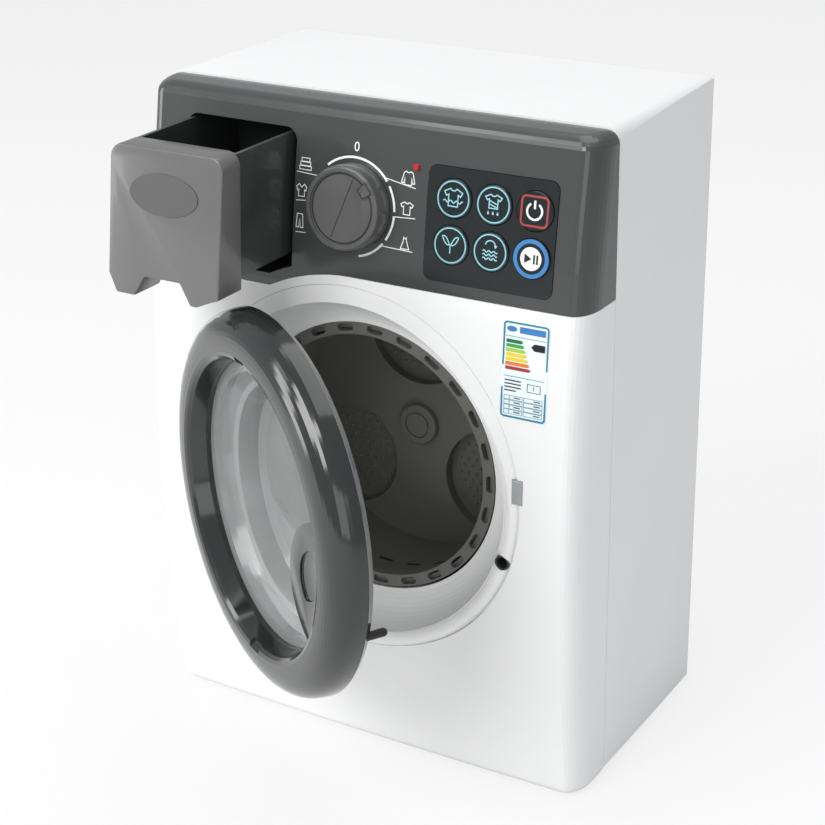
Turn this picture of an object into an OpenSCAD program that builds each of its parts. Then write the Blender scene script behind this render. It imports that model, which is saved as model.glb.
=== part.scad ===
// Toy washing machine: cabinet, hinged porthole door, pull-out drawer, dial, push buttons and a geared drum.
// X runs to the right, -Y is the front, Z is up. The origin is the middle of the base, on the floor.

/* [Cabinet] */
// Width of the cabinet at its front
body_w = 222.3; // [216:0.1:240]
// Width of the cabinet at its back
back_w = 217.4; // [210:0.1:222]
// Height of the fascia and of the cabinet's front
body_h = 300; // [298:0.5:310]
// Height that the rear shell stands above the fascia
rear_rise = 0.8; // [0:0.1:2]
// From the origin to the back face
back_y = 62; // [60:0.5:80]
// From the origin to the seam between the two halves
seam_y = 41.6; // [36:0.2:46]
// From the origin to the front at its fullest, at the side edges
front_y = 75; // [74:0.5:76]
// Radius of the front's curve, seen from the side
front_r = 900; // [850:10:1000]
// Height at which the front is fullest
bulge_z = 125; // [115:1:135]
// How far the front's middle stands ahead of its side edges
bow = 1.5; // [1:0.1:1.6]
// Wall of the shells
wall = 2.4; // [2:0.1:2.8]
// Depth of the blend at the front's upright corners
corner_r = 14; // [10:0.5:18]
// Width of the blend at the front's upright corners
corner_w = 8; // [6:0.5:10]
// Radius of the front's top edge
top_edge_r = 5; // [4:0.5:6]
// Radius of the front's bottom edge
bottom_edge_r = 4.5; // [3.5:0.5:6]
// Radius of the edges between the top, the sides and the back
side_edge_r = 5.5; // [4.5:0.5:7]
// Gap shown at the joints between the shells
seam_gap = 0.3; // [0.1:0.05:0.5]

/* [Fascia] */
// From the surround's edge to the fascia's arc
fascia_gap = 4.5; // [4:0.1:6]
// How far the fascia's lower edge on the left lies under that on the right
fascia_step = 10; // [8:0.5:11]
// Width of the fascia's strip between its arc and the drawer
arc_strip = 5.1; // [4:0.1:6]

/* [Drum opening] */
// Height of the middle of the surround
surround_z = 140; // [139.5:0.1:140.5]
// Outer radius of the surround
surround_r = 85; // [84:0.1:85.4]
// Radius of the dish's throat
throat_r = 64.1; // [64:0.1:65]
// From the origin forward to the throat
throat_y = 57.5; // [57:0.1:58.5]
// From the origin forward to the crest of the surround's lip
lip_y = 75.6; // [75:0.1:75.7]
// Width of the surround's rounded lip
lip_w = 7.5; // [6:0.5:9]

/* [Drum] */
// Height of the drum's axis above the surround's
drum_rise = 0.5; // [0:0.1:1]
// Outer radius of the drum's front ring
ring_r = 63.5; // [62.8:0.1:63.6]
// Inner radius of the drum's front ring
ring_in_r = 57.8; // [57:0.1:58.5]
// Outer radius of the drum
drum_r = 62.5; // [61.5:0.1:62.8]
// Wall of the drum
drum_wall = 2.2; // [1.8:0.1:2.6]
// Number of slots in the front ring
slot_count = 25; // [20:1:28]
// From the origin forward to the drum's back web
web_y = 13.5; // [12:0.5:15]
// Thickness of the back web
web_t = 8; // [7:0.5:9]
// Radius of the three round pockets in the web
pocket_r = 26; // [23:0.5:27]
// From the drum's axis to the middle of a pocket
pocket_at = 45.5; // [44:0.5:48]
// Depth of a pocket
pocket_d = 5; // [3:0.5:5.5]
// Radius of the hub
hub_r = 9.7; // [8.5:0.1:11]
// Radius of the drum's shaft
shaft_r = 3; // [2.5:0.1:3.5]

/* [Drive] */
// Teeth on the drum's gear
gear_teeth = 48; // [48:1:48]
// Teeth on the motor's pinion
pinion_teeth = 12; // [12:1:12]
// Gear module
gear_module = 1; // [0.95:0.05:1.05]
// Face width of the gears
gear_w = 4; // [3:0.5:5]

/* [Door] */
// How far the door's edge lies inside the surround's
door_in = 0.5; // [0:0.1:1]
// Height of the door's middle above the surround's
door_rise = 2.75; // [2:0.25:3.5]
// Depth of the door from its back to its crest
door_d = 17.5; // [17:0.5:19]
// From the door's edge in to its crest
crest_in = 17; // [16:0.5:18]
// From the crest in to the glazing
bevel_w = 5; // [4:0.5:6]
// Gap between the surround's lip and the back of the shut door
door_gap = 0.6; // [0.5:0.1:1]
// From the door's edge in to the hinge axis
hinge_in = 5; // [4.7:0.1:5.2]
// From the door's back forward to the hinge axis
hinge_d = 11.2; // [11:0.1:11.5]
// Radius of the hinge pin
pin_r = 1.2; // [1:0.1:1.3]
// Angle at which the door stands open
door_open = 30.3; // [0:0.1:60]
// Radius of the latch peg
peg_r = 1.8; // [1.4:0.1:2]

/* [Drawer] */
// From the cabinet's left side to the drawer's front
drawer_side = 23.15; // [22:0.05:25]
// From the drawer's front to the knob
drawer_knob_gap = 11.8; // [11.5:0.1:13.5]
// How far the drawer's front reaches under the fascia's right edge
drawer_drop = 4.5; // [2.5:0.5:5]
// From the top of the cabinet to the drawer's front
drawer_top_gap = 12.2; // [11:0.2:16]
// How far the drawer stands open
drawer_open = 52.5; // [10:0.5:60]
// How far the front's top stands ahead of the origin when shut
drawer_face_y = 62; // [61.5:0.1:63]
// Slope of the drawer's front
drawer_slope = 0.143; // [0.13:0.001:0.16]
// Length of the tray behind the front
tray_l = 74; // [66:1:76]
// Wall of the tray
tray_wall = 1.8; // [1.4:0.1:2.4]

/* [Controls] */
// From the top of the cabinet to the knob's middle
knob_drop = 40.7; // [39:0.1:42]
// Radius of the knob
knob_r = 18.5; // [17:0.1:19]
// Height of the knob
knob_h = 9; // [8:0.5:11]
// Angle of the knob's pointer, clockwise from the top
knob_at = 52; // [0:1:90]
// Width of the button panel
panel_w = 59.5; // [58:0.5:61]
// From the cabinet's right side to the button panel
panel_side = 15.65; // [14:0.05:16.5]
// From the fascia's lower edge up to the button panel
panel_rise = 5; // [4:0.5:6]
// From the top of the cabinet to the button panel
panel_drop = 18; // [16:0.5:19]
// Radius of a button
button_r = 8.2; // [7.5:0.1:8.4]
// Spacing of the buttons across
button_dx = 18.5; // [18.3:0.1:19]
// Spacing of the buttons up and down
button_dz = 19; // [18.5:0.1:19.5]
// Travel of a button
button_travel = 1; // [0.6:0.1:1.2]

/* [Fits] */
// Gap all round between pieces that move past each other
move_gap = 0.3; // [0.25:0.05:0.4]
// Gap all round between fixed pieces that slip together
slip_gap = 0.15; // [0.1:0.05:0.2]
// Radial gap of a running fit
run_gap = 0.06; // [0.03:0.01:0.09]

/* [Hidden] */
$fn = 96;

// The axis that the front is turned about, parallel to X
axis_y = front_r - front_y;
half_w = body_w / 2;
// Room left out of sight beyond a cut
over = 20;

// Places that follow from the surround's circle and from the cabinet's sides and top
fascia_arc_r = surround_r + fascia_gap;
fascia_z = surround_z + fascia_arc_r;
fascia_left_z = fascia_z - fascia_step;
drawer_arc_r = fascia_arc_r + arc_strip;
drum_z = surround_z + drum_rise;
door_r = surround_r - door_in;
door_z = surround_z + door_rise;
door_y = lip_y + door_gap;
crest_r = door_r - crest_in;
glazing_r = crest_r - bevel_w;
hinge_x = door_r - hinge_in;
hinge_y = door_y + hinge_d;
drawer_left = drawer_side - half_w;
drawer_right = -knob_r - drawer_knob_gap;
drawer_bottom = fascia_z - drawer_drop;
drawer_top = body_h - drawer_top_gap;
knob_z = body_h - knob_drop;
panel_right = half_w - panel_side;
panel_left = panel_right - panel_w;
panel_bottom = fascia_z + panel_rise;
panel_top = body_h - panel_drop;

function lean(z) = asin((z - bulge_z) / front_r);
function bow_at(x) = bow * (1 - pow(x / half_w, 2));
function front_at(x, z) = axis_y - sqrt(front_r * front_r - pow(z - bulge_z, 2)) - bow_at(x);
function spot(r, a) = [r * cos(a), r * sin(a)];

// A flat shape drawn in X and Z, given depth from y0 back to y1
module slab(y0, y1) {
    translate([0, y1, 0]) rotate([90, 0, 0]) linear_extrude(height = y1 - y0) children();
}

// A flat shape in Y and Z, drawn out along X
module along_x(x0, x1) {
    translate([x0, 0, 0]) rotate([90, 0, 90]) linear_extrude(height = x1 - x0) children();
}

// A profile of radius and height, turned about a line along Y through (x, z); height runs forward from y
module turned(x, y, z, fn = 96) {
    translate([x, y, z]) rotate([90, 0, 0]) rotate_extrude($fn = fn) children();
}

// A cylinder along Y from y0 back to y1
module rod(x, z, r, y0, y1, fn = 64) {
    translate([x, y1, z]) rotate([90, 0, 0]) cylinder(r = r, h = y1 - y0, $fn = fn);
}

// Places children on the front at (x, z), with -Y outward and the curved face through the origin
module on_front(x, z) {
    translate([x, axis_y, bulge_z]) rotate([-lean(z), 0, 0]) translate([0, -front_r, 0]) children();
}

module rounded_rect(x0, y0, x1, y1, r, fn = 48) {
    translate([x0 + r, y0]) square([x1 - x0 - 2 * r, y1 - y0]);
    translate([x0, y0 + r]) square([x1 - x0, y1 - y0 - 2 * r]);
    for (x = [x0 + r, x1 - r], y = [y0 + r, y1 - r]) translate([x, y]) circle(r = r, $fn = fn);
}

// How far an edge rounding of radius r draws a slice in, at height z
function drawn_in(z, inset, r_top, r_low) = let (
    t = max(0, r_top - (body_h - inset - z)),
    l = max(0, r_low - (z - inset))
) r_top - sqrt(max(0, r_top * r_top - t * t)) + r_low - sqrt(max(0, r_low * r_low - l * l));

// The cabinet's outline from above at height z, from the back left round the front to the back right
function plan_at(z, inset) = let (
    half = half_w - inset - drawn_in(z, inset, side_edge_r, bottom_edge_r),
    ahead = inset + drawn_in(z, inset, top_edge_r, bottom_edge_r),
    mid = half - corner_w,
    corner = [for (i = [0:8]) let (a = 90 * i / 8)
        [mid + corner_w * cos(a), front_at(mid, z) + ahead + corner_r * (1 - sin(a))]],
    front = [for (i = [1:9]) let (x = mid * (1 - i / 5)) [x, front_at(x, z) + ahead]]
) concat([[half, back_y + over]], corner, front, [for (i = [8:-1:0]) [-corner[i][0], corner[i][1]]],
    [[-half, back_y + over]]);

// Heights of the slices that the front is drawn through
function slice_heights(inset) = let (
    low = inset + bottom_edge_r,
    high = body_h - inset - top_edge_r
) concat(
    [for (i = [0:5]) low - bottom_edge_r * cos(18 * i)],
    [for (i = [1:11]) low + (high - low) * i / 12],
    [for (i = [5:-1:0]) high + top_edge_r * cos(18 * i)]);

// The cabinet's front as a block that reaches past the back; inset moves every face inward
module front_block(inset) {
    hull() for (z = slice_heights(inset))
        translate([0, 0, z]) linear_extrude(height = 0.01, center = true) polygon(plan_at(z, inset));
}

// The hollow front half of the cabinet, before it is split into fascia and front shell
module front_half() {
    difference() {
        front_block(0);
        front_block(wall);
        translate([-body_w, -seam_y - seam_gap / 2, -over]) cube([2 * body_w, body_w, body_h + 2 * over]);
    }
}

// Everything above the fascia's lower edge; drop lowers the edge
module fascia_zone(drop) {
    slab(-2 * front_y, back_y + over) {
        translate([0, fascia_z - drop]) square([body_w, body_h]);
        difference() {
            translate([-body_w, fascia_left_z - drop]) square([body_w, body_h]);
            translate([0, surround_z]) circle(r = fascia_arc_r - drop, $fn = 180);
        }
    }
}

// Case screws and the bosses that they join

screw_head_r = 3;
screw_shank_r = 1.5;
boss_r = 4.2;
seat_y = -seam_y + 8.5;
pilot_l = 12;
low_boss = [half_w - 13, 14];
high_boss = [half_w - 11, body_h - 12];

module at_bosses(places) {
    for (place = places, s = [-1, 1]) translate([s * place[0], 0, place[1]]) children();
}

module front_boss(y_front) {
    rod(0, 0, boss_r, y_front, -seam_y - seam_gap / 2);
}

module pilot_hole() {
    rod(0, 0, screw_shank_r, -seam_y - pilot_l, -seam_y + over);
}

// Hinge, latch and striker places, shared by the shell, the surround and the door

axis_x = -hinge_x;
axis_front = -hinge_y;
knuckle_half = 7.6;
ear_t = 4.4;
hinge_half = knuckle_half + move_gap + ear_t;
ear_r = 2.7;
ear_clear = ear_r + move_gap;
bracket_half = 6;
latch_angle = -20.3;
latch_in = 3.1;
latch_r = door_r - latch_in;
latch_x = latch_r * cos(latch_angle);
latch_z = door_z + latch_r * sin(latch_angle);
socket_r = 3.4;
// How far the socket stands out from the shut peg, for the arc that the peg swings in on
latch_lead = 0.35;
striker_size = [4.8, 11];
striker_at = [surround_r - 3.4, surround_z + 4];
striker = [striker_at[0], striker_at[1], striker_at[0] + striker_size[0], striker_at[1] + striker_size[1]];

module hinge_opening(gap) {
    translate([0, 0, door_z])
        slab(-2 * front_y, -throat_y + 2)
            rounded_rect(axis_x - bracket_half - gap, -hinge_half - 3 - gap,
                axis_x + bracket_half + gap, hinge_half + 3 + gap, 2);
}

module striker_opening(gap) {
    slab(-2 * front_y, -front_y + 10)
        translate([striker[0] - gap, striker[1] - gap])
            square([striker_size[0] + 2 * gap, striker_size[1] + 2 * gap]);
}

// The rear shell's outline from above, drawn in towards the back
module rear_plan(inset, front) {
    r = side_edge_r - inset / 2;
    w0 = half_w - inset;
    w1 = back_w / 2 - inset;
    y1 = back_y - inset;
    polygon([[-w0, front], [w0, front], [w1, y1 - r], [w1 - r, y1], [r - w1, y1], [-w1, y1 - r]]);
    for (s = [-1, 1]) translate([s * (w1 - r), y1 - r]) circle(r = r);
}

module rear_shape(inset, front) {
    r = side_edge_r - inset / 2;
    top = body_h + rear_rise - inset;
    intersection() {
        slab(front, back_y + 1) rounded_rect(inset - half_w, inset, half_w - inset, top, r);
        linear_extrude(height = 2 * body_h) rear_plan(inset, front);
        along_x(-body_w, body_w) rounded_rect(-2 * front_y, inset, back_y - inset, top, r);
    }
}

battery_pitch = 15.4;
battery_r = 7.1;
battery_l = 50;
cell_count = 3;
box_wall = 1.8;
box_half = battery_l / 2 + 6;
box_z0 = 14;
box_z1 = box_z0 + cell_count * battery_pitch + 2 * box_wall + 2;
box_d = 2 * battery_r + 3;
cover_screw = [box_half - 3.4, box_z1 - 3.6];
speaker_at = [half_w - 59.15, body_h - 64];
speaker_r = 16;
grille_half = 11;
grille_pitch = 3.6;
grille_slot = 1.6;

module rear_shell() {
    color("white") difference() {
        union() {
            difference() {
                rear_shape(0, -seam_y + seam_gap / 2);
                rear_shape(wall, -seam_y - 2);
            }
            at_bosses([low_boss, high_boss])
                rod(0, 0, boss_r, -seam_y + seam_gap / 2, back_y - wall / 2);
        }
        at_bosses([low_boss, high_boss]) {
            rod(0, 0, screw_shank_r + slip_gap, -seam_y - 2, seat_y + 1);
            rod(0, 0, screw_head_r + slip_gap, seat_y, back_y + over);
        }
        slab(back_y - wall - 1, back_y + 1)
            rounded_rect(-box_half, box_z0, box_half, box_z1, 3);
        for (row = [-3:3]) let (w = grille_half - abs(row), z = speaker_at[1] + grille_pitch * row)
            slab(back_y - wall - 1, back_y + 1)
                rounded_rect(speaker_at[0] - w, z - grille_slot / 2, speaker_at[0] + w, z + grille_slot / 2, 0.75);
    }
}

tongue_t = 1.8;
tongue_w = 7;
tongue_drop = 8;

// Blocks that cut the tongues out of a skin; they reach up above the fascia's edge by rise
module tongue_zones(rise) {
    ahead = -2 * front_y;
    for (at = [[half_w - 4 - tongue_w, fascia_z, tongue_w], [4 - half_w, fascia_left_z, tongue_w], [6, fascia_z, 20]])
        translate([at[0], ahead, at[1] - tongue_drop]) cube([at[2], -seam_y - ahead, tongue_drop + rise]);
}

module front_tongues() {
    intersection() {
        difference() {
            front_block(wall + slip_gap);
            front_block(wall + slip_gap + tongue_t);
        }
        tongue_zones(5);
    }
}

// Thin pads that tie the tongues to the front shell's wall below the fascia's edge
module tongue_roots() {
    intersection() {
        difference() {
            front_block(wall - 0.2);
            front_block(wall + slip_gap + 0.2);
        }
        tongue_zones(-1);
    }
}

module front_shell() {
    color("white") difference() {
        union() {
            difference() {
                front_half();
                fascia_zone(seam_gap);
            }
            front_tongues();
            tongue_roots();
            at_bosses([low_boss]) front_boss(front_at(low_boss[0], low_boss[1]) + wall / 2);
        }
        rod(0, surround_z, surround_r + slip_gap, -2 * front_y, -seam_y + 1, 180);
        hinge_opening(slip_gap);
        striker_opening(slip_gap);
        at_bosses([low_boss]) pilot_hole();
    }
}

// Points of the surround's dish: a quarter ellipse from the lip down to the throat
function dish(inset, count = 10) = let (
    r1 = surround_r - lip_w, dr = r1 - throat_r, dy = lip_y - 0.6 - throat_y
) [for (i = [0:count]) let (a = 90 * i / count)
    [throat_r + dr * cos(a) + inset * cos(a), throat_y + dy * (1 - sin(a)) - inset * sin(a)]];

// How far the lip is solid below its round
lip_solid = 3.4;

module surround_profile() {
    r = lip_w / 2;
    flange_w = 6;
    difference() {
        union() {
            translate([surround_r - lip_w, throat_y]) square([lip_w, lip_y - throat_y - r / 2]);
            polygon([for (i = [0:10]) [surround_r - r + r * cos(18 * i), lip_y - r + r * sin(18 * i)]]);
            polygon(concat(dish(0), [[throat_r, throat_y - wall], [throat_r + flange_w + 1, throat_y - wall],
                [surround_r - lip_w + 1, lip_y - r]]));
        }
        intersection() {
            polygon(concat(dish(wall), [[throat_r + wall, throat_y - 2 * wall],
                [surround_r - wall, throat_y - 2 * wall], [surround_r - wall, lip_y], [surround_r - lip_w + wall, lip_y]]));
            // The lip stays solid under its flush cut
            square([surround_r, lip_y - r - lip_solid]);
        }
    }
    translate([throat_r, throat_y - wall]) square([flange_w, wall]);
}

// How far the lip's flush part stands ahead of the front
lip_proud = 0.1;

module door_surround() {
    color("white") difference() {
        turned(0, 0, surround_z, 180) surround_profile();
        // Above its middle the lip is cut flush with the sloping front
        difference() {
            translate([-body_w, -2 * front_y, surround_z + 1]) cube([2 * body_w, 1.5 * front_y, body_h]);
            front_block(-lip_proud);
        }
        hinge_opening(slip_gap);
        striker_opening(slip_gap);
        rod(latch_x + latch_lead, latch_z, socket_r + slip_gap / 2, -2 * front_y, -throat_y);
    }
}

module latch_socket() {
    depth = 13;
    color("dimgray") difference() {
        rod(latch_x + latch_lead, latch_z, socket_r, -lip_y + 0.5, -lip_y + 0.5 + depth);
        rod(latch_x + latch_lead, latch_z, peg_r + 0.8, -lip_y - 1, -lip_y + depth - 1.5);
    }
}

module door_striker() {
    color("silver") intersection() {
        striker_opening(0);
        slab(front_at(striker[0], striker[1]) - 0.4, -front_y + 8)
            rounded_rect(striker[0], striker[1], striker[2], striker[3], 0.8);
    }
}

module hinge_bracket() {
    block_front = front_at(-hinge_x, door_z) + 0.3;
    color("dimgray") difference() {
        union() {
            intersection() {
                hinge_opening(0);
                slab(block_front, block_front + 6) square([2 * body_w, 2 * body_h], center = true);
            }
            for (s = [-1, 1])
                translate([axis_x, axis_front, door_z + s * (knuckle_half + move_gap + ear_t / 2)]) {
                    cylinder(r = ear_r, h = ear_t, center = true);
                    translate([-ear_r, 0, -ear_t / 2]) cube([2 * ear_r, block_front - axis_front + 3, ear_t]);
                }
        }
        translate([axis_x, axis_front, door_z]) cylinder(r = pin_r + 0.02, h = 4 * hinge_half, center = true);
    }
}

module hinge_pin() {
    color("silver") translate([axis_x, axis_front, door_z])
        cylinder(r = pin_r, h = 2 * hinge_half - 0.4, center = true, $fn = 48);
}

label_size = [21, 41.3];
label_right = half_w - 15.15;
label_top = fascia_z - 5.8;
label_t = 0.25;

module rating_label() {
    color("lightcyan") intersection() {
        difference() {
            front_block(-label_t);
            front_block(0);
        }
        slab(-2 * front_y, -seam_y)
            rounded_rect(label_right - label_size[0], label_top - label_size[1], label_right, label_top, 0.8);
    }
}

// Fascia and what it carries

corner_cut = 8;
drawer_edge_r = 6;

// The drawer's outline, seen from the front; grow widens it all round
module drawer_outline(grow) {
    x0 = drawer_left - grow;
    x1 = drawer_right + grow;
    z0 = drawer_bottom - grow;
    z1 = drawer_top + grow;
    r = drawer_edge_r;
    difference() {
        union() {
            translate([x0 + r, z1 - r]) circle(r = r, $fn = 48);
            translate([x1 - r, z1 - r]) circle(r = r, $fn = 48);
            translate([x0 + r, z1 - 2 * r]) square([x1 - x0 - 2 * r, 2 * r]);
            polygon([[x0, z1 - r], [x0, z0 + corner_cut], [x0 + corner_cut * 0.55, z0], [x1, z0], [x1, z1 - r]]);
        }
        translate([0, surround_z]) circle(r = drawer_arc_r - grow, $fn = 180);
    }
}

opening_gap = 0.6;
housing_back = -seam_y + 70;
switch_half = 12;
bushing_r = 3.9;
// How far the buttons' middle lies right of and above the panel's
button_shift = 1.45;
button_mid_x = (panel_left + panel_right) / 2 + button_shift;
button_mid_z = (panel_bottom + panel_top) / 2 + button_shift;
panel_proud = 0.4;
panel_in = 1.2;
panel_corner_r = 4;
led_at = [knob_r + 0.657 * (panel_left - knob_r), body_h - 20.6];
led_r = 1.5;
board_half = [32, 21];
board_gap = 10;
board_t = 1.6;
post_r = 2.2;
// Shank, pilot hole, clearance hole and head of the small self-tapping screws
tap_r = 0.85;
tap_hole_r = 0.9;
tap_clear_r = 1.1;
tap_head_r = 2;
post_at = board_half[0] - 2.8;

module at_posts() {
    on_front(button_mid_x, button_mid_z) for (s = [-1, 1]) translate([s * post_at, 0, 0]) children();
}

// Middles of the six buttons, by column and row
function button_at(col, row) =
    [button_mid_x + (col - 1) * button_dx, button_mid_z + (0.5 - row) * button_dz];

module button_holes(extra) {
    for (col = [0:2], row = [0:1]) let (at = button_at(col, row))
        on_front(at[0], at[1]) rod(0, 0, button_r + move_gap + extra, -over / 2, over / 2);
}

module fascia() {
    color("dimgray") difference() {
        union() {
            intersection() {
                front_half();
                fascia_zone(0);
            }
            at_bosses([high_boss]) front_boss(front_at(high_boss[0], high_boss[1]) + wall / 2);
            at_posts() rod(0, 0, post_r, 0.6, board_gap);
        }
        slab(-2 * front_y, -seam_y + 1) drawer_outline(opening_gap);
        on_front(0, knob_z) rod(0, 0, bushing_r + 0.05, -over, over / 2);
        intersection() {
            difference() {
                front_block(-4);
                front_block(panel_in);
            }
            slab(-2 * front_y, -seam_y - over / 2)
                rounded_rect(panel_left - slip_gap, panel_bottom - slip_gap,
                    panel_right + slip_gap, panel_top + slip_gap, panel_corner_r + slip_gap);
        }
        button_holes(0.1);
        on_front(led_at[0], led_at[1]) rod(0, 0, led_r + 0.05, -over, over / 2);
        at_posts() rod(0, 0, tap_hole_r, board_gap - 6, board_gap + 1, 32);
        at_bosses([high_boss]) pilot_hole();
    }
}

module button_panel() {
    color("black") difference() {
        intersection() {
            difference() {
                front_block(-panel_proud);
                front_block(panel_in);
            }
            slab(-2 * front_y, -seam_y - over / 2)
                rounded_rect(panel_left, panel_bottom, panel_right, panel_top, panel_corner_r);
        }
        button_holes(0);
    }
}

module led_lens() {
    color("red") on_front(led_at[0], led_at[1]) {
        rod(0, 0, led_r, -bow_at(led_at[0]) - 0.3, wall + 2);
        translate([0, -bow_at(led_at[0]) - 0.3, 0]) intersection() {
            sphere(r = led_r, $fn = 48);
            translate([-led_r, -0.6 * led_r, -led_r]) cube(2 * led_r);
        }
        rod(0, 0, led_r + 0.8, wall - bow_at(led_at[0]) + 0.1, wall + 2);
    }
}

// Height of a button's cap above the panel, and the gap left over its switch when pressed home
cap_proud = 0.7;
flange_t = 1.2;
switch_h = 2;
press_left = 0.3;

module button_body(col, row, square_cap = false) {
    at = button_at(col, row);
    face = -bow_at(at[0]) - panel_proud - cap_proud;
    flange = wall - bow_at(at[0]) + move_gap;
    on_front(at[0], at[1]) {
        if (square_cap) {
            slab(face, flange + 0.1) intersection() {
                circle(r = button_r, $fn = 96);
                translate([-button_r, -button_r]) square(2 * button_r);
            }
        } else {
            rod(0, 0, button_r - 0.5, face, flange);
            translate([0, face + 0.5, 0]) rotate([90, 0, 0])
                cylinder(r1 = button_r, r2 = button_r - 0.5, h = 0.5, $fn = 96);
            rod(0, 0, button_r, face + 0.5, flange);
        }
        rod(0, 0, min(button_r + 0.75, button_dx / 2 - 0.25), flange, flange + flange_t);
        rod(0, 0, 2, flange, board_gap - switch_h - press_left - button_travel, 48);
    }
}

module button_wash() { color("lightcyan") button_body(0, 0); }
module button_rinse() { color("lightcyan") button_body(1, 0); }
module button_power() { color("indianred") button_body(2, 0); }
module button_eco() { color("lightcyan") button_body(0, 1); }
module button_spin() { color("lightcyan") button_body(1, 1); }
module button_play() { color("steelblue") button_body(2, 1); }

module circuit_board() {
    color("darkgreen") difference() {
        union() {
            on_front(button_mid_x, button_mid_z)
                slab(board_gap, board_gap + board_t) square(2 * board_half, center = true);
            // Six tact switches, standing on the board over the buttons' stems
            on_front(button_mid_x, button_mid_z) for (col = [-1:1], row = [-0.5, 0.5])
                slab(board_gap - switch_h, board_gap + 0.1)
                    translate([col * button_dx, row * button_dz]) square(5, center = true);
        }
        at_posts() rod(0, 0, tap_clear_r, board_gap - 1, board_gap + 4, 32);
    }
}

module board_screws() {
    color("silver") at_posts() {
        rod(0, 0, tap_r, board_gap - 5, board_gap + board_t + 0.2, 32);
        rod(0, 0, tap_head_r, board_gap + board_t, board_gap + board_t + 1.2, 32);
    }
}

module rotary_switch() {
    front = wall - bow + 0.1;
    color("gray") on_front(0, knob_z) difference() {
        union() {
            slab(front, front + 10)
                rounded_rect(-switch_half, -switch_half, switch_half, switch_half, 2);
            rod(0, 0, bushing_r, -bow, front + 1);
        }
        rod(0, 0, shaft_r + run_gap, -over, front + 8);
    }
}

module knob_shaft() {
    color("silver") on_front(0, knob_z) rod(0, 0, shaft_r, -bow - knob_h + 3, wall - bow + 7.6);
}

knob_rim_r = 0.84 * knob_r;
pointer_proud = 0.3;

// The knob's profile: a shallow dish in its face, inside a rounded rim
module knob_profile() {
    edge = 1.2;
    difference() {
        union() {
            polygon([[0, 0], [knob_r, 0], [knob_r - 0.6, knob_h - edge], [0, knob_h - edge]]);
            square([knob_r - 0.6 - edge, knob_h]);
            translate([knob_r - 0.6 - edge, knob_h - edge]) circle(r = edge, $fn = 48);
        }
        translate([-1, knob_h - 1]) square([knob_rim_r + 1, 2]);
        translate([-1, -1]) square([shaft_r + 1, knob_h - 2]);
    }
}

module knob() {
    base = -bow - move_gap;
    color("dimgray") on_front(0, knob_z) {
        turned(0, base, 0, 128) knob_profile();
        // The pointer, a raised tab across the knob's rim
        slab(base - knob_h - pointer_proud, base - knob_h + 1.2) rotate([0, 0, -knob_at])
            polygon([[-2.4, 0.62 * knob_r], [-3, 0.92 * knob_r], [3, 0.92 * knob_r], [2.4, 0.62 * knob_r]]);
    }
}

// The drawer, drawn where it stands open

drawer_t = 12.5;
back_slope = 0.069;
front_top = -drawer_face_y - drawer_open;
back_top = front_top + drawer_t;
tray_left = drawer_left + 2;
tray_right = drawer_right - 2.2;
tray_bottom = drawer_bottom + 9;
tray_top = drawer_top - 1.3;
tray_back = back_top + tray_l;
runner_gap = 0.3;
notch_h = 8.7;

module drawer_front() {
    notch = [[13.7, -1], [19, notch_h], [37.4, notch_h], [44, -1]];
    color("dimgray") intersection() {
        slab(front_top - over, back_top + over) difference() {
            drawer_outline(0);
            translate([drawer_left, drawer_bottom]) polygon(notch);
        }
        along_x(-half_w, 0) polygon([
            [front_top, drawer_top], [front_top - drawer_slope * 80, drawer_top - 80],
            [back_top - back_slope * 80, drawer_top - 80], [back_top, drawer_top]]);
    }
}

module tray_plan(inset) {
    x0 = tray_left + inset;
    x1 = tray_right - inset;
    translate([x0, back_top + over]) square([x1 - x0, tray_back - back_top - over - inset]);
    translate([x0, back_top - over]) square([x1 - x0, 2 * over]);
}

module drawer_tray() {
    color("#3c3e3e") difference() {
        translate([0, 0, tray_bottom]) linear_extrude(height = tray_top - tray_bottom) tray_plan(0);
        translate([0, 0, tray_bottom + tray_wall]) linear_extrude(height = body_h)
            intersection() {
                tray_plan(tray_wall);
                translate([-half_w, back_top + tray_wall]) square([half_w, tray_l]);
            }
        // The tray's front follows the slope of the drawer's back
        along_x(-half_w, 0) polygon([
            [back_top - over - 10, drawer_top + 5], [back_top + back_slope * 5, drawer_top + 5],
            [back_top - back_slope * 80, drawer_top - 80], [back_top - over - 10, drawer_top - 80]]);
    }
}

badge = [(drawer_left + drawer_right) / 2 - 0.35, drawer_top - 18.5];
badge_half = [17.5, 8.7];
badge_proud = 0.5;

module drawer_badge() {
    color("gray") intersection() {
        slab(front_top - over, back_top) translate(badge)
            polygon([for (i = [0:47]) [badge_half[0] * cos(7.5 * i), badge_half[1] * sin(7.5 * i)]]);
        along_x(-half_w, 0) polygon([
            [front_top - badge_proud, drawer_top], [front_top - badge_proud - drawer_slope * 80, drawer_top - 80],
            [front_top - drawer_slope * 80, drawer_top - 80], [front_top, drawer_top]]);
    }
}

module drawer_housing() {
    runner_front = -drawer_face_y + drawer_t + 1;
    color("#333535") {
        intersection() {
            front_block(wall + slip_gap);
            slab(-2 * front_y, housing_back) difference() {
                drawer_outline(opening_gap + 1.8);
                drawer_outline(opening_gap);
            }
        }
        slab(housing_back - 1.8, housing_back) drawer_outline(opening_gap + 1.8);
        for (x = [tray_left + 5, tray_right - 8])
            translate([x, runner_front, drawer_bottom - opening_gap - 1])
                cube([3, housing_back - runner_front - 1, tray_bottom - drawer_bottom + opening_gap + 1 - runner_gap]);
    }
}

// Drum, tub and drive

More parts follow.
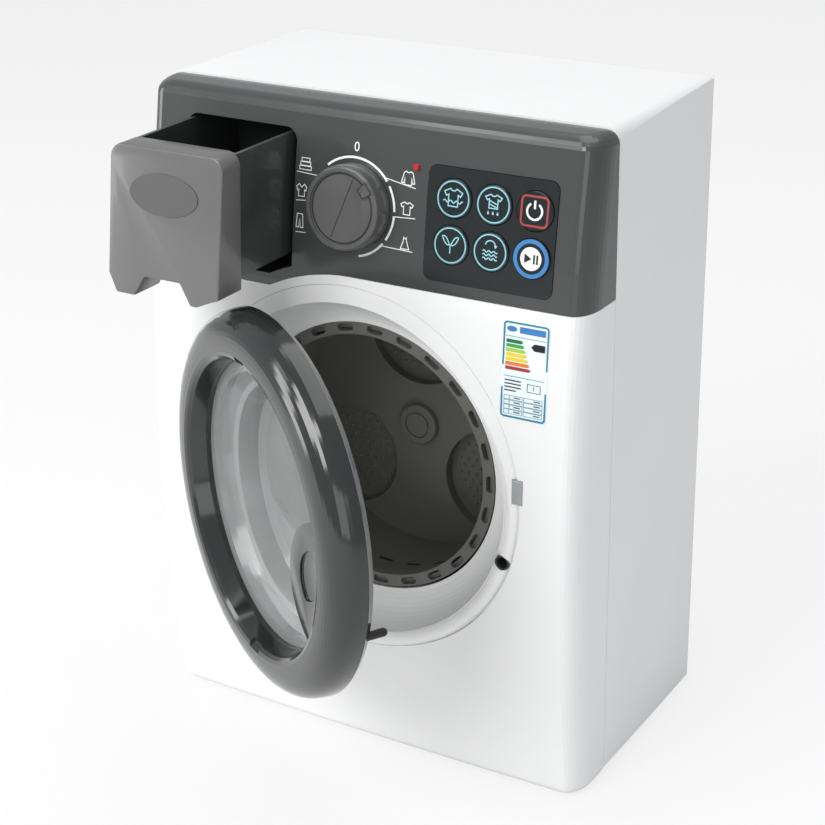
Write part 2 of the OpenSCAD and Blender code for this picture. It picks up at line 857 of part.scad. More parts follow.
drum_back = -web_y + web_t;
tub_gap = 1.4;
tub_in = ring_r + 1;
tub_wall = 2;
tub_front = -throat_y + wall;
tub_back = drum_back + 2.5;
bush_r = 5.2;
bush_l = 11;
gear_gap = 1;
gear_front = tub_back + bush_l + gear_gap;
plate_front = gear_front + gear_w + gear_gap;
plate_t = 2;
gear_r = gear_teeth * gear_module / 2;
pinion_r = pinion_teeth * gear_module / 2;
pinion_z = drum_z - gear_r - pinion_r;
motor_shaft_r = 1;
motor_r = 12;
motor_l = 22;
flange_r = tub_in + 6.5;

module slot_shape(at, len, high) {
    translate([at, 0]) {
        square([high, len - high], center = true);
        for (s = [-1, 1]) translate([0, s * (len - high) / 2]) circle(d = high, $fn = 24);
    }
}

module drum_front_ring() {
    ring_mid = (ring_r + ring_in_r) / 2 + 0.2;
    slot_len = 0.53 * 2 * PI * ring_mid / slot_count;
    lip_r = drum_r - drum_wall - 0.1;
    color("#2e2e2c") translate([0, 0, drum_z]) difference() {
        union() {
            turned(0, -throat_y, 0, 180) translate([ring_in_r, -2]) square([ring_r - ring_in_r, 2]);
            turned(0, -throat_y, 0, 180)
                polygon([[ring_in_r, -1.9], [ring_in_r + 1.6, -1.9], [lip_r, -7], [lip_r, -9], [lip_r - 1.6, -9],
                    [ring_in_r, -3]]);
        }
        slab(-throat_y - 1, -throat_y + 4) for (i = [0:slot_count - 1])
            rotate([0, 0, 360 * i / slot_count]) slot_shape(ring_mid, slot_len, 3.4);
    }
}

module drum() {
    in_r = drum_r - drum_wall;
    color("#383836") translate([0, 0, drum_z]) difference() {
        union() {
            turned(0, drum_back, 0, 180) difference() {
                square([drum_r, drum_back + throat_y - 2]);
                translate([-1, web_t]) square([in_r + 1, throat_y]);
            }
            turned(0, -web_y + 0.5, 0, 96) difference() {
                union() {
                    square([hub_r - 1, 4]);
                    square([hub_r, 3]);
                    translate([hub_r - 1, 3]) circle(r = 1, $fn = 32);
                }
                translate([5.5, 3.2]) square([1, 2]);
            }
            rod(0, 0, 7, drum_back - 1, drum_back + 1.6);
        }
        for (a = [90, 210, 330]) intersection() {
            rod(pocket_at * cos(a), pocket_at * sin(a), pocket_r, -web_y - 1, -web_y + pocket_d, 128);
            rod(0, 0, in_r - 1, -web_y - 2, drum_back + over, 180);
        }
        rod(0, 0, shaft_r, -web_y, drum_back + over);
    }
}

module drum_shaft() {
    color("silver") rod(0, drum_z, shaft_r, -web_y, plate_front + plate_t + 1.5);
}

module drum_tub() {
    color("#454545") translate([0, 0, drum_z]) difference() {
        union() {
            turned(0, tub_back + tub_wall, 0, 180) difference() {
                square([tub_in + tub_wall, tub_back + tub_wall - tub_front]);
                translate([-1, tub_wall]) square([tub_in + 1, 200]);
            }
            turned(0, tub_front + 2, 0, 180) translate([tub_in, 0]) square([flange_r - tub_in, 2]);
            rod(0, 0, bush_r + 2, tub_back, tub_back + bush_l - 1);
            at_plate_posts() rod(0, 0, 3.5, tub_back + 1, plate_front);
        }
        rod(0, 0, bush_r, tub_back - 1, tub_back + bush_l + 1);
        at_plate_posts() rod(0, 0, tap_hole_r, plate_front - 8, plate_front + 1, 32);
    }
}

// Posts that carry the gear plate, about the drum's axis
module at_plate_posts() {
    for (a = [30, 150, 215, 325]) translate([(gear_r + 7) * cos(a), 0, (gear_r + 7) * sin(a)]) children();
}

module drum_bush() {
    color("tan") translate([0, 0, drum_z]) difference() {
        rod(0, 0, bush_r - 0.02, tub_back + 0.2, tub_back + bush_l);
        rod(0, 0, shaft_r + run_gap, tub_back - 1, tub_back + bush_l + 1);
    }
}

// Half of a tooth's angle at radius r, for a 20 degree involute
function involute(a) = tan(a) * 180 / PI - a;
function half_tooth(r, teeth, base) = let (
    pitch = teeth * gear_module / 2,
    thin = 0.14 * gear_module
) 90 / teeth - thin / pitch * 180 / PI + involute(20) - involute(acos(min(1, base / r)));

module gear_shape(teeth) {
    pitch = teeth * gear_module / 2;
    base = pitch * cos(20);
    root = pitch - 1.25 * gear_module;
    tip = pitch + 0.95 * gear_module;
    low = max(base, root + 0.1);
    steps = [low, (low + pitch) / 2, pitch, (pitch + tip) / 2, tip];
    polygon([for (i = [0:teeth - 1]) let (a = 360 * i / teeth) each concat(
        [spot(root, a - half_tooth(low, teeth, base))],
        [for (r = steps) spot(r, a - half_tooth(r, teeth, base))],
        [for (k = [4:-1:0]) spot(steps[k], a + half_tooth(steps[k], teeth, base))],
        [spot(root, a + half_tooth(low, teeth, base))]
    )]);
}

module drum_gear() {
    color("ivory") translate([0, 0, drum_z]) difference() {
        union() {
            slab(gear_front, gear_front + gear_w) gear_shape(gear_teeth);
            rod(0, 0, 6, gear_front - 0.6, gear_front + gear_w + 0.6);
        }
        rod(0, 0, shaft_r, gear_front - 2, gear_front + gear_w + 2);
    }
}

module motor_pinion() {
    color("white") translate([0, 0, pinion_z]) difference() {
        slab(gear_front - 0.3, gear_front + gear_w + 0.3) rotate([0, 0, 180 / pinion_teeth])
            gear_shape(pinion_teeth);
        rod(0, 0, motor_shaft_r, gear_front - 2, gear_front + gear_w + 2, 48);
    }
}

module motor_shaft() {
    color("silver") rod(0, pinion_z, motor_shaft_r, gear_front - 0.3, plate_front + plate_t + 8, 48);
}

module gear_plate() {
    color("gray") difference() {
        slab(plate_front, plate_front + plate_t) {
            translate([0, drum_z]) difference() {
                circle(r = gear_r + 12, $fn = 128);
                for (a = [0, 90, 180]) rotate(a) translate([gear_r * 0.68, 0]) circle(r = 6, $fn = 64);
            }
        }
        rod(0, drum_z, shaft_r + run_gap, plate_front - 1, plate_front + plate_t + 1);
        rod(0, pinion_z, 3.2, plate_front - 1, plate_front + plate_t + 1);
        translate([0, 0, drum_z]) at_plate_posts() rod(0, 0, tap_clear_r, plate_front - 1, plate_front + plate_t + 1, 32);
    }
}

module gear_plate_screws() {
    color("silver") translate([0, 0, drum_z]) at_plate_posts() {
        rod(0, 0, tap_r, plate_front - 7, plate_front + plate_t + 0.2, 32);
        rod(0, 0, tap_head_r, plate_front + plate_t, plate_front + plate_t + 1.3, 32);
    }
}

module motor() {
    front = plate_front + plate_t;
    color("silver") translate([0, 0, pinion_z]) difference() {
        union() {
            slab(front, front + motor_l) intersection() {
                circle(r = motor_r, $fn = 96);
                square([2 * motor_r, 1.6 * motor_r], center = true);
            }
            rod(0, 0, 3, front - 1, front + 1, 48);
            slab(front + motor_l - 0.1, front + motor_l + 1.5) circle(r = 4, $fn = 48);
        }
        rod(0, 0, motor_shaft_r + run_gap, front - 2, front + 9, 48);
    }
}

// Depths of the loudspeaker's magnet, cone and rim behind its face
speaker_d = 9;
cone_d = 5;
rim_t = 2;
rim_w = 2;

module speaker() {
    face = back_y - wall - 0.1;
    color("#222222") {
        turned(speaker_at[0], face, speaker_at[1], 96)
            polygon([[0, cone_d], [0, speaker_d], [speaker_r / 2, speaker_d], [speaker_r / 2, cone_d + 1],
                [speaker_r, rim_t], [speaker_r, 0], [speaker_r - rim_w, 0], [speaker_r - rim_w, rim_t - 0.8],
                [0.4 * speaker_r, cone_d - 1]]);
    }
}

// Battery compartment, open to the back

module battery_box() {
    x1 = box_half + box_wall;
    y1 = back_y - wall - slip_gap;
    color("#555555") difference() {
        slab(y1 - box_d - box_wall, y1) rounded_rect(-x1, box_z0 - box_wall, x1, box_z1 + box_wall, 3);
        slab(y1 - box_d, y1 + 1) rounded_rect(-box_half, box_z0, box_half, box_z1, 2);
    }
    // A tower inside the box that the cover's screw bites in
    color("#555555") difference() {
        slab(y1 - box_d - 0.5, y1 - 0.6) translate(cover_screw) circle(r = 2.8, $fn = 48);
        rod(cover_screw[0], cover_screw[1], 1, y1 - 10, y1 + 1, 32);
    }
}

function cell_z(i) = box_z0 + 1.2 + battery_pitch * (i + 0.5);

module batteries() {
    y = back_y - wall - slip_gap - box_d + battery_r + 0.3;
    for (i = [0:cell_count - 1]) let (flip = i % 2 == 0 ? 1 : -1)
        color("goldenrod") translate([0, y, cell_z(i)]) rotate([0, 90 * flip, 0]) {
            translate([0, 0, -battery_l / 2]) cylinder(r = battery_r, h = battery_l - 1, $fn = 64);
            cylinder(r = 2.7, h = battery_l / 2, $fn = 48);
        }
}

module battery_contacts() {
    y = back_y - wall - slip_gap - box_d + 0.3;
    color("silver") for (s = [-1, 1], i = [0:cell_count - 1]) {
        translate([s * (box_half - 0.5) - 0.3, y, cell_z(i) - 5]) cube([0.6, 12, 10]);
        translate([s * (battery_l / 2 + 0.1), y + battery_r, cell_z(i)]) rotate([0, 90 * s, 0])
            cylinder(r = 2.6, h = box_half - battery_l / 2 - 0.6, $fn = 32);
    }
}

module battery_cover() {
    g = slip_gap;
    color("white") difference() {
        slab(back_y - wall, back_y)
            rounded_rect(-box_half + g, box_z0 + g, box_half - g, box_z1 - g, 3 - g);
        rod(cover_screw[0], cover_screw[1], 1.2, back_y - wall - 1, back_y + 1, 32);
        rod(cover_screw[0], cover_screw[1], 2.3, back_y - 1.2, back_y + 1, 48);
        for (i = [-3:3]) slab(back_y - 0.5, back_y + 1)
            translate([3 * i, box_z0 + 10]) square([1.2, 10], center = true);
    }
}

module battery_screw() {
    color("silver") {
        rod(cover_screw[0], cover_screw[1], 0.95, back_y - wall - 6, back_y - 1, 32);
        rod(cover_screw[0], cover_screw[1], 2.1, back_y - 1.2, back_y - 0.1, 48);
    }
}

module case_screws() {
    color("silver") at_bosses([low_boss, high_boss]) difference() {
        union() {
            rod(0, 0, screw_shank_r - 0.02, -seam_y - pilot_l + 1, seat_y + 0.2, 32);
            rod(0, 0, screw_head_r, seat_y, seat_y + 2, 48);
        }
        slab(seat_y + 1, seat_y + 3) {
            square([3.4, 0.8], center = true);
            square([0.8, 3.4], center = true);
        }
    }
}

// The door, drawn shut and swung open about its hinge

module swung() {
    translate([axis_x, axis_front, 0]) rotate([0, 0, -door_open]) translate([-axis_x, -axis_front, 0]) children();
}

ledge_d = 5;
ledge_w = 2.5;
bezel_back_r = door_r - 2.5;
rim_in_r = door_r - 6.5;
ring_t = 2.2;
glazing_t = 1.6;
bevel_foot_d = 9;

// The bezel's outer wall: a small round at the back, then a full curve over to the crest
function outer_wall(inset, count = 14) = let (
    r0 = crest_r + inset * 0.2,
    foot = 3,
    dr = door_r - crest_r - inset * 1.1,
    dd = door_d - foot - inset
) [for (i = [0:count]) let (a = 90 * i / count)
    [r0 + dr * pow(cos(a), 0.8), foot + dd * pow(sin(a), 0.8)]];

module bezel_full() {
    polygon(concat([[glazing_r - ledge_w, 0], [bezel_back_r, 0], [door_r - 0.9, 2]], outer_wall(0),
        [[crest_r - 1.6, door_d - 0.5], [crest_r - 3, door_d - 1.8], [glazing_r, bevel_foot_d],
        [glazing_r, ledge_d], [glazing_r - ledge_w, ledge_d]]));
}

module bezel_section() {
    difference() {
        bezel_full();
        // The hollow behind the bezel's face
        polygon(concat([[rim_in_r, -1], [rim_in_r, wall], [door_r - wall, wall]], outer_wall(wall),
            [[crest_r - 2.4, door_d - 1.8 - wall], [glazing_r + wall, bevel_foot_d - 1],
            [glazing_r + wall, ledge_d - wall], [glazing_r - ledge_w + wall, ledge_d - wall],
            [glazing_r - ledge_w + wall, -1]]));
    }
}

module bezel_solid() {
    turned(0, -door_y, door_z, 180) polygon(concat([[rim_in_r, 0], [bezel_back_r, 0], [door_r - 0.9, 2]],
        outer_wall(0), [[rim_in_r - 3, door_d - 3], [rim_in_r - 3, ring_t + slip_gap], [rim_in_r, ring_t + slip_gap]]));
}

door_screw_r = crest_r + 2.5;

module at_door_screws() {
    translate([0, 0, door_z]) for (a = [45, 135, 225, 315])
        translate([door_screw_r * cos(a), 0, door_screw_r * sin(a)]) children();
}

// Notches that the bracket's ears turn in
module ear_notches() {
    notch_h = hinge_half - knuckle_half + move_gap;
    for (s = [-1, 1])
        translate([axis_x - over, axis_front - ear_clear, door_z + s * (knuckle_half + notch_h / 2) - notch_h / 2])
            cube([over + ear_clear, ear_clear + over, notch_h]);
}

module door_bezel() {
    color("#464848") swung() difference() {
        union() {
            turned(0, -door_y, door_z, 180) bezel_section();
            // Solid where the knuckle and the screws are
            intersection() {
                bezel_solid();
                translate([-door_r - 1, -door_y - door_d, door_z - hinge_half - 3])
                    cube([door_r + 1 - hinge_x + 6, door_d + 1, 2 * hinge_half + 6]);
            }
            intersection() {
                turned(0, -door_y, door_z, 180) bezel_full();
                at_door_screws() rod(0, 0, 3, -door_y - door_d, -door_y - ring_t - slip_gap);
            }
        }
        translate([axis_x, axis_front, door_z]) cylinder(r = pin_r + run_gap, h = 4 * hinge_half, center = true);
        ear_notches();
        at_door_screws() rod(0, 0, tap_hole_r, -door_y - 9, -door_y, 32);
        rod(latch_x, latch_z, peg_r + 0.01, -door_y - 2.5, -door_y + 1);
        // Small notches at the top and bottom of the inner bevel
        for (s = [-1, 1]) translate([0, -door_y - 18, door_z + s * (glazing_r + 4.5)])
            rotate([s * 47, 0, 0]) cube([9, 1.6, 8], center = true);
    }
}

module door_back_ring() {
    color("#3f4141") swung() difference() {
        turned(0, -door_y, door_z, 180)
            translate([glazing_r - ledge_w + wall + slip_gap, 0])
                square([rim_in_r - slip_gap - (glazing_r - ledge_w + wall + slip_gap), ring_t]);
        ear_notches();
        at_door_screws() rod(0, 0, tap_clear_r, -door_y - 4, -door_y + 2, 32);
        at_door_screws() rod(0, 0, tap_head_r + move_gap, -door_y - 1, -door_y + 2, 48);
    }
}

module door_screws() {
    color("silver") swung() at_door_screws() {
        rod(0, 0, tap_r, -door_y - 8, -door_y - 0.8, 32);
        rod(0, 0, tap_head_r, -door_y - 1, -door_y, 48);
    }
}

// The porthole: a flange on the bezel's ledge and a stepped bowl that reaches back into the throat
module door_window() {
    f = ledge_d + 0.05;
    t = glazing_t;
    flange = glazing_r - slip_gap;
    color("lightgray") swung() turned(0, -door_y, door_z, 180) polygon([
        [flange, f], [flange, f + t], [57, f + t], [55.5, f - 1], [52.5, 0], [50, -1], [47.5, -9.5], [44, -12.2],
        [0, -13.5], [0, -13.5 - t], [44.6, -12.2 - t], [48.8, -10.4], [51.2, -2], [53.8, -1],
        [57, f - 1.6], [58, f]]);
}

module door_handle_plate() {
    y0 = ledge_d + 0.05 + glazing_t + 0.1;
    a = latch_angle;
    color("#4a4c4c") swung() translate([0, 0, door_z]) difference() {
        slab(-door_y - y0 - 2, -door_y - y0) intersection() {
            circle(r = glazing_r - slip_gap, $fn = 180);
            translate([58 * cos(a), 58 * sin(a)]) circle(r = 32, $fn = 128);
        }
        // The finger recess
        slab(-door_y - y0 - 3, -door_y - y0 - 0.8) translate([44 * cos(a), 44 * sin(a)]) rotate(a)
            intersection() {
                translate([7, 0]) circle(r = 15.5, $fn = 96);
                translate([-7, 0]) circle(r = 15.5, $fn = 96);
            }
    }
}

module door_latch_peg() {
    color("#222222") swung() {
        rod(latch_x, latch_z, peg_r, -door_y - 2.4, -door_y + 7);
        turned(latch_x, -door_y + 8, latch_z, 48) polygon([[0, 0], [peg_r - 0.6, 0], [peg_r, 1], [0, 1.1]]);
    }
}

rear_shell();
front_shell();
fascia();
door_surround();
latch_socket();
door_striker();
hinge_bracket();
hinge_pin();
rating_label();
button_panel();
led_lens();
circuit_board();
board_screws();
rotary_switch();
drawer_housing();
drum_tub();
drum_bush();
gear_plate();
gear_plate_screws();
motor();
speaker();
battery_box();
batteries();
battery_contacts();
battery_cover();
battery_screw();
case_screws();
door_bezel();
door_window();
door_back_ring();
door_handle_plate();
door_latch_peg();
door_screws();
drawer_front();
drawer_tray();
drawer_badge();
knob();
knob_shaft();
button_wash();
button_rinse();
button_power();
button_eco();
button_spin();
button_play();
drum();
drum_front_ring();
drum_shaft();
drum_gear();
motor_pinion();
motor_shaft();
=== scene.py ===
"""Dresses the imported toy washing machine: finishes for its CAD nodes, finer meshes where they show, prints and a stage."""
import math

import bmesh
import bpy
from bpy.props import FloatProperty, FloatVectorProperty, IntProperty, PointerProperty
from mathutils import Matrix, Vector


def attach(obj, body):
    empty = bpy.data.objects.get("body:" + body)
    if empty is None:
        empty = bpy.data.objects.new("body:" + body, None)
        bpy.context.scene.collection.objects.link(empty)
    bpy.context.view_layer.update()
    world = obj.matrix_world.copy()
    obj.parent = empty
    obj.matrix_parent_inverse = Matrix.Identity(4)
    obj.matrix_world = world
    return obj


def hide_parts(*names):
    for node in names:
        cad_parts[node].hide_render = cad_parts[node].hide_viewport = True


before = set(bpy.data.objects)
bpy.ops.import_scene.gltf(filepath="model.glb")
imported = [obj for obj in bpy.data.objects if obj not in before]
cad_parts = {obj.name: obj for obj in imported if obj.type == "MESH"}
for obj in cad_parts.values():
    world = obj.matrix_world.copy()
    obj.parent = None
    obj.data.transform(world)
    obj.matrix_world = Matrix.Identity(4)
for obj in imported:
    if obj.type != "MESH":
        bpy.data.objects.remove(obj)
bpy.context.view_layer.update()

bl_info = {
    "name": "Toy Washing Machine",
    "version": (1, 0, 0),
    "blender": (4, 5, 0),
    "location": "View3D > Sidebar > Toy Washer",
    "description": "Dresses the toy washing machine's frame with meshes, prints and finishes",
    "category": "Object",
}

MM = 0.001
IMAGE_SIDE = 825


def colour(name, text, value):
    """A colour property with its default, written as linear light."""
    return FloatVectorProperty(name=name, description=text, default=value, size=3, min=0, max=1, subtype="COLOR")


def length(name, text, value):
    """A length property in metres."""
    return FloatProperty(name=name, description=text, default=value, unit="LENGTH")


class WasherSizes(bpy.types.PropertyGroup):
    """Sizes that the prints and the finer meshes follow; they repeat those of the frame."""

    half_width: length("Half width", "Half of the cabinet's width", 0.11115)
    front_radius: length("Front radius", "Radius of the front's curve, seen from the side", 0.9)
    front_reach: length("Front reach", "From the origin forward to the front at its fullest", 0.075)
    bulge_height: length("Bulge height", "Height at which the front is fullest", 0.125)
    bow: length("Bow", "How far the front's middle stands ahead of its sides", 0.0015)
    print_lift: length("Print lift", "Thickness of the printed ink and film", 0.00012)
    knob_height: length("Knob height", "Height of the knob's middle", 0.2593)
    knob_face: length("Knob face", "How far the knob's rim stands ahead of the front", 0.0093)
    dish_depth: length("Dish depth", "Depth of the dish in the knob's face", 0.001)
    pointer_rise: length("Pointer rise", "How far the pointer stands above the knob's rim", 0.0003)
    pointer_angle: FloatProperty(name="Pointer angle", description="Turn of the pointer, clockwise from the top",
                                 default=math.radians(52), subtype="ANGLE")
    button_x: length("Button X", "Middle of the buttons across the front", 0.0672)
    button_height: length("Button height", "Middle of the buttons' height", 0.2597)
    button_dx: length("Button spacing X", "Spacing of the buttons across", 0.0185)
    button_dz: length("Button spacing Z", "Spacing of the buttons up and down", 0.019)
    cap_face: length("Cap face", "How far a button's face stands ahead of the front", 0.0011)
    drum_height: length("Drum height", "Height of the drum's axis", 0.1405)
    drum_inner: length("Drum radius", "Inner radius of the drum's wall", 0.0603)
    pocket_floor: length("Pocket floor", "From the origin forward to the floor of the drum's pockets", 0.0085)
    label_left: length("Label left", "Left edge of the label", 0.075)
    label_top: length("Label top", "Top edge of the label", 0.2237)
    label_width: length("Label width", "Width of the label", 0.021)
    label_height: length("Label height", "Height of the label", 0.0413)
    label_film: length("Label film", "Thickness of the label", 0.00025)
    camera_place: FloatVectorProperty(name="Camera place", description="Where the photograph was taken from",
                                      default=(0.4330, -0.7264, 0.5020), size=3, subtype="XYZ", unit="LENGTH")
    camera_yaw: FloatProperty(name="Camera yaw", description="Turn of the view to the left", subtype="ANGLE",
                              default=math.radians(31.54))
    camera_pitch: FloatProperty(name="Camera pitch", description="Tilt of the view, down is negative",
                                subtype="ANGLE", default=math.radians(-23.14))
    camera_roll: FloatProperty(name="Camera roll", description="Roll of the view", subtype="ANGLE",
                               default=math.radians(-0.97))
    focal_pixels: FloatProperty(name="Focal length", description="Focal length in pixels of the square picture",
                                default=1953.4)


class WasherColours(bpy.types.PropertyGroup):
    """Colours of the plastics and the prints."""

    body: colour("Body", "White plastic of the cabinet", (0.82, 0.82, 0.82))
    fascia: colour("Fascia", "Dark grey plastic of the fascia", (0.050, 0.054, 0.053))
    door: colour("Door", "Charcoal plastic of the door", (0.017, 0.018, 0.018))
    drawer: colour("Drawer", "Grey plastic of the drawer's front", (0.125, 0.125, 0.125))
    inner: colour("Inner", "Dark plastic inside", (0.030, 0.032, 0.031))
    drum: colour("Drum", "Warm dark plastic of the drum", (0.13, 0.13, 0.12))
    window: colour("Window", "Smoky clear plastic of the window", (0.38, 0.39, 0.39))
    panel: colour("Panel", "Black of the button panel", (0.010, 0.014, 0.014))
    aqua: colour("Aqua", "Pale blue print on the buttons", (0.30, 0.58, 0.64))
    teal: colour("Teal", "Darker blue print round the buttons", (0.07, 0.20, 0.24))
    red: colour("Red", "Red print", (0.36, 0.045, 0.05))
    blue: colour("Blue", "Blue print", (0.04, 0.20, 0.48))
    ink: colour("Ink", "White print", (0.86, 0.88, 0.88))


def sizes():
    """The sizes held by the scene."""
    return bpy.context.scene.washer_sizes


def colours():
    """The colours held by the scene."""
    return bpy.context.scene.washer_colours


# Shading

class Wire:
    """A shader socket that can be used in arithmetic; each operator adds one Math node."""

    def __init__(self, tree, socket):
        self.tree = tree
        self.socket = socket

    def math(self, operation, *values):
        return node(self.tree, "ShaderNodeMath", {"operation": operation}, *values)

    def __add__(self, other):
        return self.math("ADD", self, other)

    def __radd__(self, other):
        return self.math("ADD", other, self)

    def __sub__(self, other):
        return self.math("SUBTRACT", self, other)

    def __rsub__(self, other):
        return self.math("SUBTRACT", other, self)

    def __mul__(self, other):
        return self.math("MULTIPLY", self, other)

    def __rmul__(self, other):
        return self.math("MULTIPLY", other, self)

    def above(self, edge, soft):
        """0 below edge and 1 above it, with a soft step."""
        ramp = node(self.tree, "ShaderNodeMapRange", {"interpolation_type": "SMOOTHSTEP"},
                    self, edge - soft, edge + soft)
        return ramp


def node(tree, kind, settings=None, *values, out=0):
    """Adds a node with its settings, fills its sockets in order or by name, and returns an output as a Wire."""
    made = tree.nodes.new(kind)
    for key, value in (settings or {}).items():
        if key == "stops":
            for stop, (place, shade) in zip(stops_for(made, value), value):
                stop.position = place
                stop.color = shade
        else:
            setattr(made, key, value)
    pairs = []
    for index, value in enumerate(values):
        pairs += list(value.items()) if isinstance(value, dict) else [(index, value)]
    for key, value in pairs:
        if isinstance(value, Wire):
            tree.links.new(value.socket, made.inputs[key])
        elif value is not None:
            made.inputs[key].default_value = value
    return Wire(tree, made.outputs[out])


def stops_for(ramp, wanted):
    """Gives a colour ramp as many stops as are wanted."""
    stops = ramp.color_ramp.elements
    while len(stops) < len(wanted):
        stops.new(1.0)
    return stops


def place(tree):
    """The surface's own coordinates, in metres."""
    return node(tree, "ShaderNodeTexCoord", None, out=3)


def noise(tree, scale, detail=3.0, rough=0.5):
    """Noise of about one feature in 1/scale metres."""
    return node(tree, "ShaderNodeTexNoise", None,
                {"Vector": place(tree), "Scale": scale, "Detail": detail, "Roughness": rough})


def new_material(name):
    """An empty node material with its tree and shader."""
    material = bpy.data.materials.new(name)
    material.use_nodes = True
    tree = material.node_tree
    tree.nodes.clear()
    output = tree.nodes.new("ShaderNodeOutputMaterial")
    shader = tree.nodes.new("ShaderNodeBsdfPrincipled")
    tree.links.new(shader.outputs[0], output.inputs[0])
    return material, tree, shader


def feed(tree, shader, **inputs):
    """Sets a shader's sockets by name: numbers and colours are set, Wires are linked."""
    for key, value in inputs.items():
        socket = shader.inputs[key.replace("_", " ")]
        if isinstance(value, Wire):
            tree.links.new(value.socket, socket)
        elif isinstance(socket.default_value, float):
            socket.default_value = value
        else:
            socket.default_value = tuple(value) + (1.0,) * (len(socket.default_value) - len(value))


def shade(tree, base, factor, spread):
    """A colour that drifts lighter and darker by spread as the factor goes from 0 to 1."""
    dark = tuple(c * (1 - spread) for c in base) + (1.0,)
    light = tuple(min(1.0, c * (1 + spread)) for c in base) + (1.0,)
    return node(tree, "ShaderNodeMix", {"data_type": "RGBA"}, {0: factor, 6: dark, 7: light}, out=2)


def moulded(name, base, rough, coat=0.0, grain=0.02, grain_scale=1400.0, drift=0.03):
    """Injection-moulded plastic: slight colour drift, patchy gloss and the fine texture of the mould."""
    material, tree, shader = new_material(name)
    broad = noise(tree, 18.0)
    fine = noise(tree, 160.0, 4.0)
    feed(tree, shader, Base_Color=shade(tree, base, broad, drift),
         Roughness=rough + (fine - 0.5) * 0.10 + (broad - 0.5) * 0.06, Coat_Weight=coat, Coat_Roughness=0.08)
    bump = node(tree, "ShaderNodeBump", None,
                {"Strength": grain, "Distance": 0.0002, "Height": noise(tree, grain_scale, 2.0)})
    feed(tree, shader, Normal=bump)
    return material


def metal(name, base, rough):
    """Plated steel with faint brushing."""
    material, tree, shader = new_material(name)
    streak = node(tree, "ShaderNodeMapping", None, {"Vector": place(tree), "Scale": (1.0, 12.0, 1.0)})
    lines = node(tree, "ShaderNodeTexNoise", None, {"Vector": streak, "Scale": 420.0, "Detail": 3.0})
    feed(tree, shader, Base_Color=shade(tree, base, lines, 0.12), Metallic=1.0, Roughness=rough + (lines - 0.5) * 0.15)
    bump = node(tree, "ShaderNodeBump", None, {"Strength": 0.05, "Distance": 0.0001, "Height": lines})
    feed(tree, shader, Normal=bump)
    return material


def printed(name, base, rough=0.35):
    """Screen-printed ink: even colour with the slight mottle of ink on plastic."""
    material, tree, shader = new_material(name)
    mottle = noise(tree, 900.0, 2.0)
    feed(tree, shader, Base_Color=shade(tree, base, mottle, 0.05), Roughness=rough + (mottle - 0.5) * 0.1)
    return material


FINISHES = {}


def finish(name):
    """The finish of that name, made the first time it is asked for."""
    if name not in FINISHES:
        FINISHES[name] = FINISH_MAKERS[name]()
    return FINISHES[name]


def smoky_clear():
    """The window's clear plastic: mostly see-through, with a grey haze that thickens in patches."""
    material, tree, shader = new_material("smoky_clear")
    haze = noise(tree, 60.0)
    feed(tree, shader, Base_Color=shade(tree, colours().window, haze, 0.04), Roughness=0.12 + haze * 0.06,
         Alpha=0.52 + (haze - 0.5) * 0.06, IOR=1.49, Coat_Weight=0.3, Coat_Roughness=0.05)
    return material


def board_green():
    """Circuit board: solder mask with traces as fine lines."""
    material, tree, shader = new_material("board_green")
    cells = node(tree, "ShaderNodeTexVoronoi", {"feature": "DISTANCE_TO_EDGE"}, {"Vector": place(tree), "Scale": 260.0})
    mask = cells.above(0.05, 0.02)
    tone = node(tree, "ShaderNodeMix", {"data_type": "RGBA"},
                {0: mask, 6: (0.08, 0.30, 0.12, 1), 7: (0.02, 0.13, 0.05, 1)}, out=2)
    feed(tree, shader, Base_Color=tone, Roughness=0.35 + mask * 0.1)
    return material


def cell_sleeve():
    """A dry cell's printed sleeve: gold with a dark band."""
    material, tree, shader = new_material("cell_sleeve")
    across = node(tree, "ShaderNodeSeparateXYZ", None, place(tree))
    band = across.above(0.008, 0.0003)
    tone = node(tree, "ShaderNodeMix", {"data_type": "RGBA"},
                {0: band, 6: (0.02, 0.02, 0.022, 1), 7: (0.48, 0.30, 0.08, 1)}, out=2)
    feed(tree, shader, Base_Color=tone, Metallic=0.6, Roughness=0.3 + noise(tree, 300.0) * 0.1)
    return material


